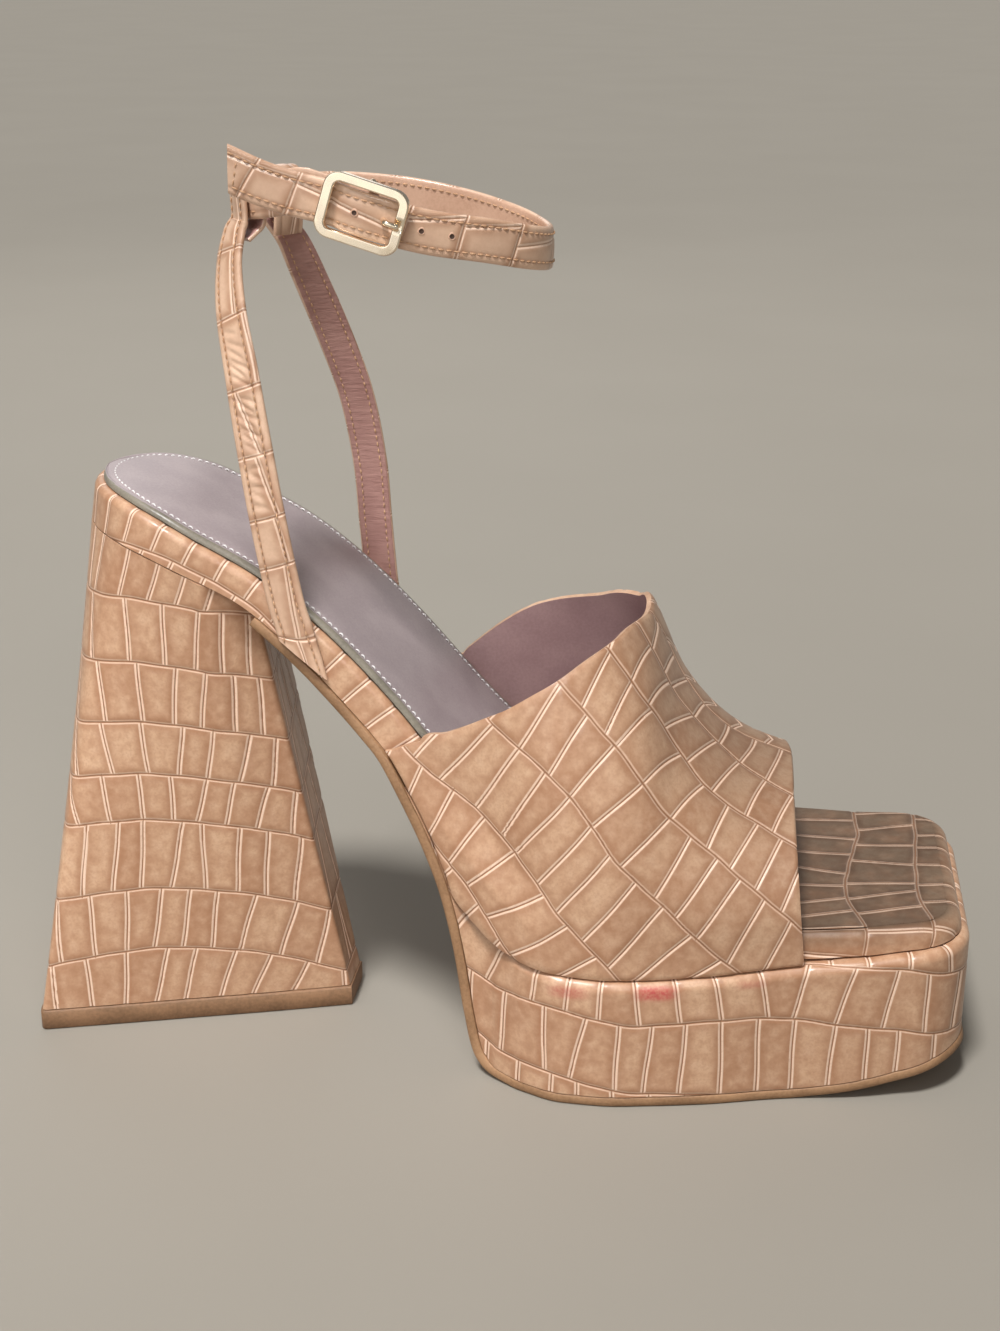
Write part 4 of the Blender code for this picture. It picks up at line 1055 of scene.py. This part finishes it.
def sock_outline(inset, end):
    """Stations of the sock's outline moved in by an inset, with its half-widths there."""
    xs = np.concatenate((seat_stations(-inset), np.linspace(SEAT_CENTRE, end, SOCK_STEPS)))
    return xs, {side: edge(side, xs, -inset) for side in SIDES}


def make_sock(fabric, binding, thread):
    xs, halves = sock_outline(SOCK_INSET, SOCK_END)
    share = np.linspace(-1, 1, SOCK_COLUMNS)
    middle = (halves[INNER] - halves[OUTER]) / 2
    half = (halves[INNER] + halves[OUTER]) / 2
    plan = stacked(xs[:, None], middle[:, None] + half[:, None] * share)
    near = (1 - np.abs(share)) * half[:, None]
    crown = SOCK_CROWN * (1 - np.exp(-near / CROWN_REACH))
    groove = GROOVE_DEPTH * np.exp(-((near - STITCH_INSET) / GROOVE_WIDTH) ** 2)
    edge_drop = SOCK_EDGE_DROP * np.clip(1 - near / SOCK_EDGE_WIDTH, 0, 1) ** 2
    height = GAP + SOCK_THICKNESS + crown - groove - edge_drop
    border = near < BINDING_WIDTH
    border = border[:-1, :-1] | border[:-1, 1:]
    shell = Shell()
    above = shell.grid(on_footbed(plan, -height), kind=border.astype(int))
    shell.join(above, shell.grid(on_footbed(plan, -GAP)), 1)
    made = shell.make("sock", [fabric, binding], "insole")
    xs, halves = sock_outline(SOCK_INSET + STITCH_INSET, SOCK_END - STITCH_END)
    outer, inner = (np.column_stack((xs, SIGN[side] * halves[side])) for side in SIDES)
    seam = np.vstack((outer[::-1], inner))
    lift = GAP + SOCK_THICKNESS + STITCH_LIFT
    path = on_footbed(seam, -lift)
    up = on_footbed(seam, -2 * lift) - path
    make_stitches("sock_stitches", path, up, SOCK_STITCH, thread)


def make_stitches(name, path, up, stitch, material):
    """Thread stitches along a path, each a low arch that dips in at both ends."""
    length, gap, radius = stitch
    way = distances(path)
    starts = np.arange(gap, way[-1] - length, length + gap)
    t = np.linspace(0, 1, STITCH_POINTS)
    arch = 4 * t * (1 - t)
    where = starts[:, None] + t * length
    lift = read_off(where, way, up)
    centre = read_off(where, way, path) + unit(lift) * (radius * (arch * STITCH_ARCH - STITCH_SINK))[:, None]
    tangent = unit(np.gradient(centre, axis=1))
    side = unit(np.cross(tangent, lift))
    thin = radius * np.sqrt(np.clip(arch, STITCH_TIP, 1))
    shell = Shell()
    for rings in rings_round(centre, side, np.cross(side, tangent), thin, STITCH_TURN):
        shell.tube(rings)
    shell.make(name, [material], None)


def strap_section(half, thickness):
    """Strap section with half-round edges: (across, out) points, from the outer face round to the inner."""
    nose = thickness / 2
    flat = half - nose
    outer = [(a * flat, nose + STRAP_CROWN * (1 - a * a)) for a in np.linspace(-1, 1, FACE_POINTS)]
    turns = np.linspace(0, math.pi, NOSE_POINTS)[1:-1]
    right = [(flat + nose * math.sin(t), nose * math.cos(t)) for t in turns]
    inner = [(a * flat, -nose) for a in np.linspace(1, -1, BACK_POINTS)]
    left = [(-a, o) for a, o in right][::-1]
    return np.array(outer + right + inner + left)


def strap_scales(along, across, half, lines):
    """Scales of a strap: creases across it, each with a line along the strap to the next one, and seams."""
    lines = list(lines)
    beside, beyond = STRAP_MARGINS
    while lines[-1][0] < along.max() + beyond:
        step, first, last = (start + change * (len(lines) % 3) for start, change in NEXT_LINE)
        lines.append((lines[-1][0] + step, first, last))
    creases = [crease for crease, _, _ in lines]
    dividers = [((-beside, -beside), (first, last), (beside, beside)) for _, first, last in lines[:-1]]
    # The seam's groove: pressed in, and painted darker as shade along it through the stain channel.
    seam = np.exp(-((half - np.abs(across) - SEAM_INSET) / SEAM_WIDTH) ** 2)
    return Scales(across, along - STRAP_SLOPE * across, creases, dividers, -seam, -1.0), seam


def make_strap(name, node, centres, widths, thick, outwards, materials, lines, wrinkles=(), back=False):
    """A strap with embossed outer face, rounded edges and a lined back."""
    tangent = tangents(centres)
    out = unit(np.cross(tangent, widths)) * outwards
    half = np.linalg.norm(widths, axis=1)
    sections = np.array([strap_section(*size) for size in zip(half, thick)])
    sideways = sections[..., :1] * widths[:, None] / half[:, None, None]
    points = centres[:, None] + sideways + sections[..., 1:] * out[:, None]
    along = distances(centres)[:, None]
    along = along[-1] - along if back else along
    column = np.arange(points.shape[1])
    across = sections[:, np.r_[column, 0], 0]
    scales, seam = strap_scales(along, across, half[:, None], lines)
    depth = SEAM_DEPTH * seam
    for up, slope, middle, reach, deep in wrinkles:
        fold = (along - up - slope * across) / WRINKLE_WIDTH
        depth = depth + deep * np.exp(-fold ** 2 - ((across - middle) / reach) ** 4)
    worked = pressed(points, scales.edge[:, :-1], True, STRAP_PRESS) - out[:, None] * depth[:, :-1, None]
    lining = FACE_POINTS + NOSE_POINTS // 2
    lined = (column >= lining) & (column <= lining + BACK_POINTS)
    shell = Shell()
    shell.tube(np.where((column < FACE_POINTS)[:, None], worked, points), scales, lined.astype(int))
    shell.make(name, materials, node)
    return tangent, out, half


def at_buckle(along, out, across=0.0):
    return BAR_CENTRE + ALONG * along + OUT * out + ACROSS * across


def ankle_run():
    """The strap's centre line from the eye round the ankle, through the buckle, to the free end."""
    route = [at_buckle(*EYE[-1])] + [np.array(p) for p in ANKLE_LOOP]
    route += [at_buckle(a, o, -STRAP_DROP) for a, o in OVER_BAR] + [np.array(p) for p in ANKLE_TAIL]
    return spline(route, FINE)[1:]


def strap_seams(name, part, centres, widths, out, thick, thread, face=True):
    """Stitches along both edges of a stretch of strap, on its face or on its lined back."""
    widths = widths[part]
    out = out[part] if face else -out[part]
    inwards = 1 - SEAM_INSET / np.linalg.norm(widths, axis=1)[:, None]
    rise = thick[part, None] / 2 + (STITCH_RISE if face else 0.0)
    for label, side in (("first", 1), ("second", -1)):
        path = centres[part] + side * widths * inwards + out * rise
        make_stitches(f"{name}_stitches_{label}", path, out, STRAP_STITCH, thread)


def make_hole(name, centre, tangent, out, materials):
    """A punched hole's torn rim, with a disc of painted shadow for its middle."""
    side = np.cross(out, tangent)
    turns = np.radians(np.arange(0, 360, HOLE_TURN))
    rings = []
    for radius, rise in HOLE_RINGS:
        torn = radius * (1 + HOLE_TEAR * np.sin(3 * turns) * (radius > HOLE_RIM))
        circle = np.outer(torn * np.cos(turns), tangent) + np.outer(torn * np.sin(turns), side)
        rings.append(centre + circle + out * rise)
    shell = Shell()
    index = shell.grid(np.array(rings), closed=True, kind=np.array(HOLE_KINDS)[:, None])
    shell.face(index[0], 1)
    shell.make(name, materials, None)


def make_ankle_strap(materials, thread, hole_materials):
    half = ANKLE_WIDTH / 2
    eye = spline([at_buckle(a, o) for a, o in EYE], COARSE)
    run = ankle_run()
    tangent = tangents(run)
    up = np.array((0.0, 0.0, 1.0))
    upright = unit(up - tangent * (tangent @ up)[:, None]) * half
    back = distances(run)[-1] - distances(run)
    upright += tangent * np.maximum(0, TAIL_SLANT - back / 2)[:, None]
    centres = np.vstack((eye, run))
    widths = np.vstack((np.tile(ACROSS * half, (len(eye), 1)), upright))
    thick = np.concatenate((np.full(len(eye), EYE_THICKNESS), np.full(len(run), STRAP_THICKNESS)))
    first = len(eye) + FINE
    thick[len(eye):first] = np.linspace(EYE_THICKNESS, STRAP_THICKNESS, FINE)
    tangent, out, half = make_strap("ankle_strap_leather", "ankle_strap", centres, widths, thick,
                                    SIGN[OUTER], materials, ANKLE_LINES, back=True)
    strap = (centres, widths, out, thick, thread)
    strap_seams("ankle", slice(first, None), *strap)
    strap_seams("ankle_lining", slice(first, -LINING_SEAM_END * FINE), *strap, face=False)
    way = distances(centres)
    last = np.searchsorted(way, way[-1] - SEAM_INSET)
    reach = np.linspace(-1, 1, END_SEAM_POINTS)[:, None] * (1 - SEAM_INSET / half[last])
    path = centres[last] + reach * widths[last] + out[last] * (thick[last] / 2 + 2 * STITCH_RISE)
    make_stitches("ankle_stitches_end", path, out[last] + 0 * path, STRAP_STITCH, thread)
    bar = way[len(eye) + np.argmin(np.linalg.norm(run - at_buckle(*OVER_BAR[2]), axis=1))]
    for number, place in enumerate(STRAP_HOLES, 1):
        at = np.argmin(np.abs(way - (bar - place)))
        centre = centres[at] + out[at] * (thick[at] / 2 + HOLE_RISE)
        make_hole(f"strap_hole_{number}", centre, tangent[at], out[at], hole_materials)


def make_riser(name, side, materials, thread, node):
    rows, place, loop_end = RISERS[side]
    half = RISER_WIDTH / 2
    run = ankle_run()[::FINE // COARSE]
    nearest = np.argmin(np.linalg.norm(run[1:-1] - place, axis=1)) + 1
    course = unit(run[nearest + 1] - run[nearest - 1])
    away = unit(np.array((-course[1], course[0], 0.0)))
    facing = math.copysign(1.0, away[1])
    turn = math.atan2(-facing * away[0], facing * away[1])
    fold = [run[nearest] + away * n + np.array((0.0, 0.0, z)) for n, z in LOOP_TURN + loop_end]
    table = np.array(rows)
    centres = spline(np.vstack((table[:, :3], fold)), FINE)
    turns = through(table[:, (2, 3)], 1)
    number = np.arange(len(centres))
    straight = FINE * len(rows)
    ease = np.clip((number - straight + FINE) / FINE, 0, 1)
    angle = np.radians(turns(centres[:, 2])) * (1 - ease) + turn * ease
    flat = stacked(np.cos(angle), np.sin(angle), 0.0)
    tangent = tangents(centres)
    widths = unit(flat - tangent * (flat * tangent).sum(axis=1)[:, None]) * half
    slant = np.array((1.0, 0.0, footbed_top(rows[0][0] + 1) - footbed_top(rows[0][0])))
    ramp = slant * (half / (slant @ (widths[0] / half))) - widths[0]
    widths[:FINE] += ramp * (1 - number[:FINE, None] / FINE)
    thick = np.where(number < straight, STRAP_THICKNESS, FOLD_THICKNESS)
    _, out, _ = make_strap(f"{name}_leather", node, centres, widths, thick, SIGN[side], materials,
                           RISER_LINES, RISER_WRINKLES)
    strap = (centres, widths, out, thick, thread)
    strap_seams(name, slice(2, straight + 2 * FINE), *strap)
    strap_seams(f"{name}_lining", slice(2, straight), *strap, face=False)


def rounded_rectangle(size, corner):
    """Evenly spaced points (along, across) of an outline with rounded corners."""
    points = []
    for quarter, (sx, sy) in enumerate(((1, -1), (1, 1), (-1, 1), (-1, -1))):
        for k in range(CORNER_STEPS + 1):
            a = math.radians(90 * (quarter - 1 + k / CORNER_STEPS))
            points.append((sx * (size[0] / 2 - corner) + corner * math.cos(a),
                           sy * (size[1] / 2 - corner) + corner * math.sin(a)))
    corner_turn = np.arange(CORNER_STEPS + 1) / (2 * CORNER_STEPS)
    turn = np.concatenate([quarter + corner_turn for quarter in range(4)] + [[4.0]])
    return read_off(np.arange(FRAME_STEPS) / FRAME_STEPS * 4, turn, np.array(points + points[:1]))


def make_buckle(gold):
    low, high = FRAME_OUT
    wall = (FRAME_OUTER[0] - FRAME_INNER[0]) / 2
    section = [(0.0, low), *((inset, high - drop) for inset, drop in FRAME_BEVEL)]
    section += [(wall - inset, out) for inset, out in section[::-1]]
    rings = []
    for inset, out in section:
        share = inset / wall
        size = [a + (b - a) * share for a, b in zip(FRAME_OUTER, FRAME_INNER)]
        outline = rounded_rectangle(size, FRAME_CORNER - share * FRAME_CORNER_LOSS)
        notch = NOTCH_DEPTH * (outline[:, 0] > 0) * np.clip(NOTCH_REACH - np.abs(outline[:, 1]), 0, 1)
        drop = notch * (out > (low + high) / 2)
        rings.append([at_buckle(a, out - d, w) for (a, w), d in zip(outline, drop)])
    shell = Shell()
    shell.grid(np.array(rings + rings[:1]), closed=True)
    shell.make("buckle_frame_polished", [gold], "buckle_frame", FRAME_SHARP)
    reach = (FRAME_OUTER[1] + FRAME_INNER[1]) / 4
    bar = [(reach, low + BAR_OVERLAP), (reach, BAR_RISE), (reach - BAR_BEND, 0.0)]
    bar = [(-w, o) for w, o in bar] + bar[::-1]
    make_tube("buckle_bar", [at_buckle(0.0, o, w) for w, o in bar], BAR_RADIUS, gold, None)
    prong = [at_buckle(a, o) for a, o in PRONG]
    make_tube("buckle_prong_polished", prong, PRONG_RADIUS, gold, "buckle_prong")


def make_tube(name, places, radius, material, node):
    """A round bar with domed ends, bent through some places."""
    path = spline(places, TUBE_PIECES)
    tangent = tangents(path)
    side = unit(np.cross(tangent, OUT if abs(tangent[0] @ OUT) < TUBE_STEEP else ACROSS))
    for i in range(1, len(path)):
        side[i] = unit(side[i - 1] - tangent[i] * (side[i - 1] @ tangent[i]))
    over = np.cross(tangent, side)
    at = np.r_[[0] * len(DOME), :len(path), [-1] * len(DOME)]
    level = np.zeros(len(path))
    ahead = radius * np.concatenate((-np.cos(DOME), level, np.cos(DOME[::-1])))
    size = radius * np.concatenate((np.sin(DOME), level + 1, np.sin(DOME[::-1])))
    shell = Shell()
    shell.tube(rings_round(path[at] + tangent[at] * ahead[:, None], side[at], over[at], size, TUBE_TURN))
    shell.make(name, [material], node)


class Nodes:
    """A new material and the shader nodes added to it."""

    def __init__(self, name):
        self.material = bpy.data.materials.new(name)
        self.material.use_nodes = True
        self.tree = self.material.node_tree
        self.shader = self.tree.nodes["Principled BSDF"]

    def fill(self, node, inputs):
        """Links or sets the inputs of a node, each by its place or name."""
        for label, value in inputs.items():
            if isinstance(value, bpy.types.NodeSocket):
                self.tree.links.new(value, node.inputs[label])
            else:
                node.inputs[label].default_value = value

    def new(self, kind, inputs, **settings):
        """The outputs of a new node."""
        node = self.tree.nodes.new("ShaderNode" + kind)
        for name, value in settings.items():
            setattr(node, name, value)
        self.fill(node, inputs)
        return node.outputs

    def math(self, operation, *values):
        return self.new("Math", dict(enumerate(values)), operation=operation)[0]

    def times(self, first, second):
        return self.math("MULTIPLY", first, second)

    def line(self, value, slope, start):
        return self.math("MULTIPLY_ADD", value, slope, start)

    def ramp(self, value, low, high, start=0.0, end=1.0):
        """Smoothly from start at low to end at high."""
        inputs = {"Value": value, "From Min": low, "From Max": high, "To Min": start, "To Max": end}
        return self.new("MapRange", inputs, interpolation_type="SMOOTHSTEP")["Result"]

    def band(self, value, start, full, fade, end):
        """One between full and fade, nothing outside start and end."""
        return self.times(self.ramp(value, start, full), self.ramp(value, fade, end, 1.0, 0.0))

    def mix(self, share, first, second, blend="MIX"):
        return self.new("Mix", {0: share, 6: first, 7: second}, data_type="RGBA", blend_type=blend)[2]

    def noise(self, scale, detail=3.0, stretch=None):
        """Noise over the piece's own coordinates, in metres."""
        place = self.new("TexCoord", {})["Object"]
        if stretch:
            place = self.new("Mapping", {"Vector": place, "Scale": stretch})["Vector"]
        return self.new("TexNoise", {"Vector": place, "Scale": scale, "Detail": detail})["Fac"]

    def bump(self, height, distance):
        return self.new("Bump", {"Height": height, "Distance": distance, "Strength": BUMP_STRENGTH})["Normal"]

    def look(self, inputs):
        """The material, with the inputs of its shader filled."""
        self.fill(self.shader, inputs)
        return self.material


def scale_nodes(nodes):
    """Distances from the dividers and creases in millimetres, with what else colour needs."""
    parts = []
    for label in ("cells", "cell_size"):
        vector = nodes.new("Attribute", {}, attribute_name=label)["Vector"]
        parts.append(nodes.new("SeparateXYZ", {0: vector}))
    (u, v, stain), (wide, tall, shade) = parts
    near = []
    for place, size in ((u, wide), (v, tall)):
        off = nodes.math("ABSOLUTE", nodes.math("SUBTRACT", nodes.math("FRACT", place), 0.5))
        near.append(nodes.times(nodes.math("SUBTRACT", 0.5, off), size))
    cell = nodes.new("CombineXYZ", {0: nodes.math("FLOOR", u), 1: nodes.math("FLOOR", v)})[0]
    return *near, nodes.new("TexWhiteNoise", {"Vector": cell})["Value"], stain, shade


def leather_material():
    n = Nodes("embossed_leather")
    beside, above, cell, stain, shade = scale_nodes(n)
    near = n.math("MINIMUM", beside, above)
    # Negative stain marks the strap seams, painted darker as shade in their grooves; negative shade marks the
    # straps; positive shade is painted shade on the toe's top and the vamp's crest.
    seam, strap = (n.math("MAXIMUM", n.times(value, -1.0), 0.0) for value in (stain, shade))
    stain, painted_shade = (n.math("MAXIMUM", value, 0.0) for value in (stain, shade))
    cloud, patch, speck, grain = n.noise(130, 4.0), n.noise(420, 4.0), n.noise(1500), n.noise(3200, 2.0)
    tone = n.line(cell, 0.25, n.times(cloud, 0.75))
    burnt = n.times(n.ramp(near, 0.6, 3.0, 0.7, 0.0), n.ramp(cloud, 0.3, 0.65, 0.4, 1.0))
    painted_shade = n.times(painted_shade, n.ramp(cloud, 0.25, 0.6, 0.8, 1.0))
    side_rim = n.times(n.band(beside, 0.12, 0.24, 0.5, 0.8), n.ramp(above, 0.1, 0.5))
    row_rim = n.times(n.band(above, 0.16, 0.3, 0.4, 0.7), n.line(strap, 0.35, 0.6))
    rubbed = n.times(n.math("MAXIMUM", side_rim, row_rim), n.ramp(speck, 0.25, 0.5, 0.7, 1.0))
    rubbed = n.times(rubbed, n.line(painted_shade, -0.6, 1.0))
    line = n.math("MAXIMUM", n.ramp(beside, 0.05, 0.2, 0.75, 0.0), n.ramp(above, 0.06, 0.22, 0.7, 0.0))
    colour = n.mix(n.ramp(tone, 0.25, 0.75), srgb(175, 131, 100), srgb(202, 163, 131))
    for share, tint, blend in (
        (n.ramp(patch, 0.4, 0.75, 0.0, 0.4), (214, 179, 150), "MIX"),
        (n.ramp(patch, 0.25, 0.5, 0.35, 0.0), (158, 112, 82), "MIX"),
        (n.ramp(speck, 0.4, 0.7, 0.0, 0.3), (164, 120, 90), "MIX"),
        (n.times(strap, 0.42), (236, 202, 176), "MIX"),
        (burnt, (156, 107, 75), "MIX"),
        # painted shade, multiplied in on the toe's top and the vamp's crest
        (painted_shade, (132, 134, 132), "MULTIPLY"),
        (rubbed, (230, 198, 174), "MIX"),
        (n.times(line, n.line(strap, -0.45, 1.0)), (136, 93, 64), "MIX"),
        # painted shade along the strap seams' grooves, showing between the stitches
        (n.times(seam, 0.5), (134, 88, 58), "MIX"),
        (n.times(stain, n.ramp(speck, 0.3, 0.7, 0.5, 0.9)), (188, 84, 78), "MIX"),
    ):
        colour = n.mix(share, colour, srgb(*tint), blend)
    return n.look({
        "Base Color": colour,
        "Roughness": n.line(line, 0.25, n.line(cloud, 0.2, 0.34)),
        "Normal": n.bump(n.line(grain, 0.10, n.ramp(near, 0.0, 0.5)), 0.0002),
        "Coat Weight": n.line(strap, 0.4, 0.22),
        "Coat Roughness": 0.15,
    })


def plain_material(name, light, dark, rough, grain, depth, stretch=None):
    """A material with mottled colour, uneven gloss and fine grain."""
    n = Nodes(name)
    cloud = n.noise(90, 4.0)
    fine = n.noise(grain, 3.0, stretch)
    share = n.ramp(n.line(fine, 0.4, n.times(cloud, 0.6)), 0.3, 0.7)
    return n.look({
        "Base Color": n.mix(share, srgb(*dark), srgb(*light)),
        "Roughness": n.line(cloud, 0.2, rough - 0.1),
        "Normal": n.bump(fine, depth),
    })


def gold_material():
    n = Nodes("polished_gold")
    smear = n.noise(260, 4.0)
    colour = n.mix(smear, srgb(243, 222, 190), srgb(250, 238, 220))
    return n.look({"Base Color": colour, "Roughness": n.ramp(smear, 0.3, 0.8, 0.08, 0.2), "Metallic": 1.0})


def make_stage():
    bpy.ops.mesh.primitive_plane_add(size=FLOOR_SIZE)
    floor = bpy.context.object
    floor.name = "floor"
    n = Nodes("pale_floor")
    colour = n.mix(n.noise(6), srgb(140, 134, 124), srgb(145, 139, 129))
    floor.data.materials.append(n.look({"Base Color": colour, "Roughness": 0.7}))
    for name, kind, place, aim, size, power, spread in LIGHTS:
        lamp = bpy.data.lights.new(name, kind)
        if kind == "SUN":
            lamp.angle = size
        else:
            lamp.size = size
            lamp.spread = math.radians(spread)
        lamp.energy = power
        holder = bpy.data.objects.new(name, lamp)
        holder.location = place
        holder.rotation_euler = (Vector(aim) - Vector(place)).to_track_quat("-Z", "Y").to_euler()
        bpy.context.scene.collection.objects.link(holder)
    world = bpy.data.worlds.new("studio")
    world.use_nodes = True
    background = world.node_tree.nodes["Background"]
    background.inputs["Color"].default_value = srgb(214, 212, 208)
    background.inputs["Strength"].default_value = STUDIO_LIGHT
    bpy.context.scene.world = world
    bpy.context.scene.view_settings.view_transform = "Standard"


def make_camera():
    data = bpy.data.cameras.new("camera")
    data.sensor_width = SENSOR
    data.lens = SENSOR * FOCAL_PIXELS / IMAGE_HEIGHT
    data.clip_start = CLIP_START
    camera = bpy.data.objects.new("camera", data)
    bpy.context.scene.collection.objects.link(camera)
    azimuth, pitch = math.radians(CAMERA_AZIMUTH), math.radians(90 - CAMERA_PITCH)
    turn = Matrix.Rotation(azimuth, 4, "Z") @ Matrix.Rotation(pitch, 4, "X")
    camera.matrix_world = Matrix.Translation(Vector((np.array(CAMERA_PLACE) + SHIFT) * MM)) @ turn
    bpy.context.scene.camera = camera


make_camera()
make_stage()
leather = leather_material()
looks = {name: plain_material(name, *look) for name, look in PLAIN_LOOKS.items()}
thread, strap_lining = looks["brown_thread"], looks["tan_lining"]

make_heel(leather)
make_lift(looks["lift_rubber"])
make_platform(leather)
make_outsole(looks["sole_rubber"])
make_footbed(leather)
make_vamp(leather, looks["smooth_lining"])
make_sock(looks["taupe_sock"], looks["grey_binding"], looks["pale_thread"])
make_ankle_strap([leather, strap_lining], thread, [strap_lining, looks["painted_hole_shadow"]])
make_riser("riser_lateral", OUTER, [leather, looks["pink_lining"]], thread, "riser_strap_lateral")
make_riser("riser_medial", INNER, [leather, looks["pink_lining"]], thread, "riser_strap_medial")
make_buckle(gold_material())
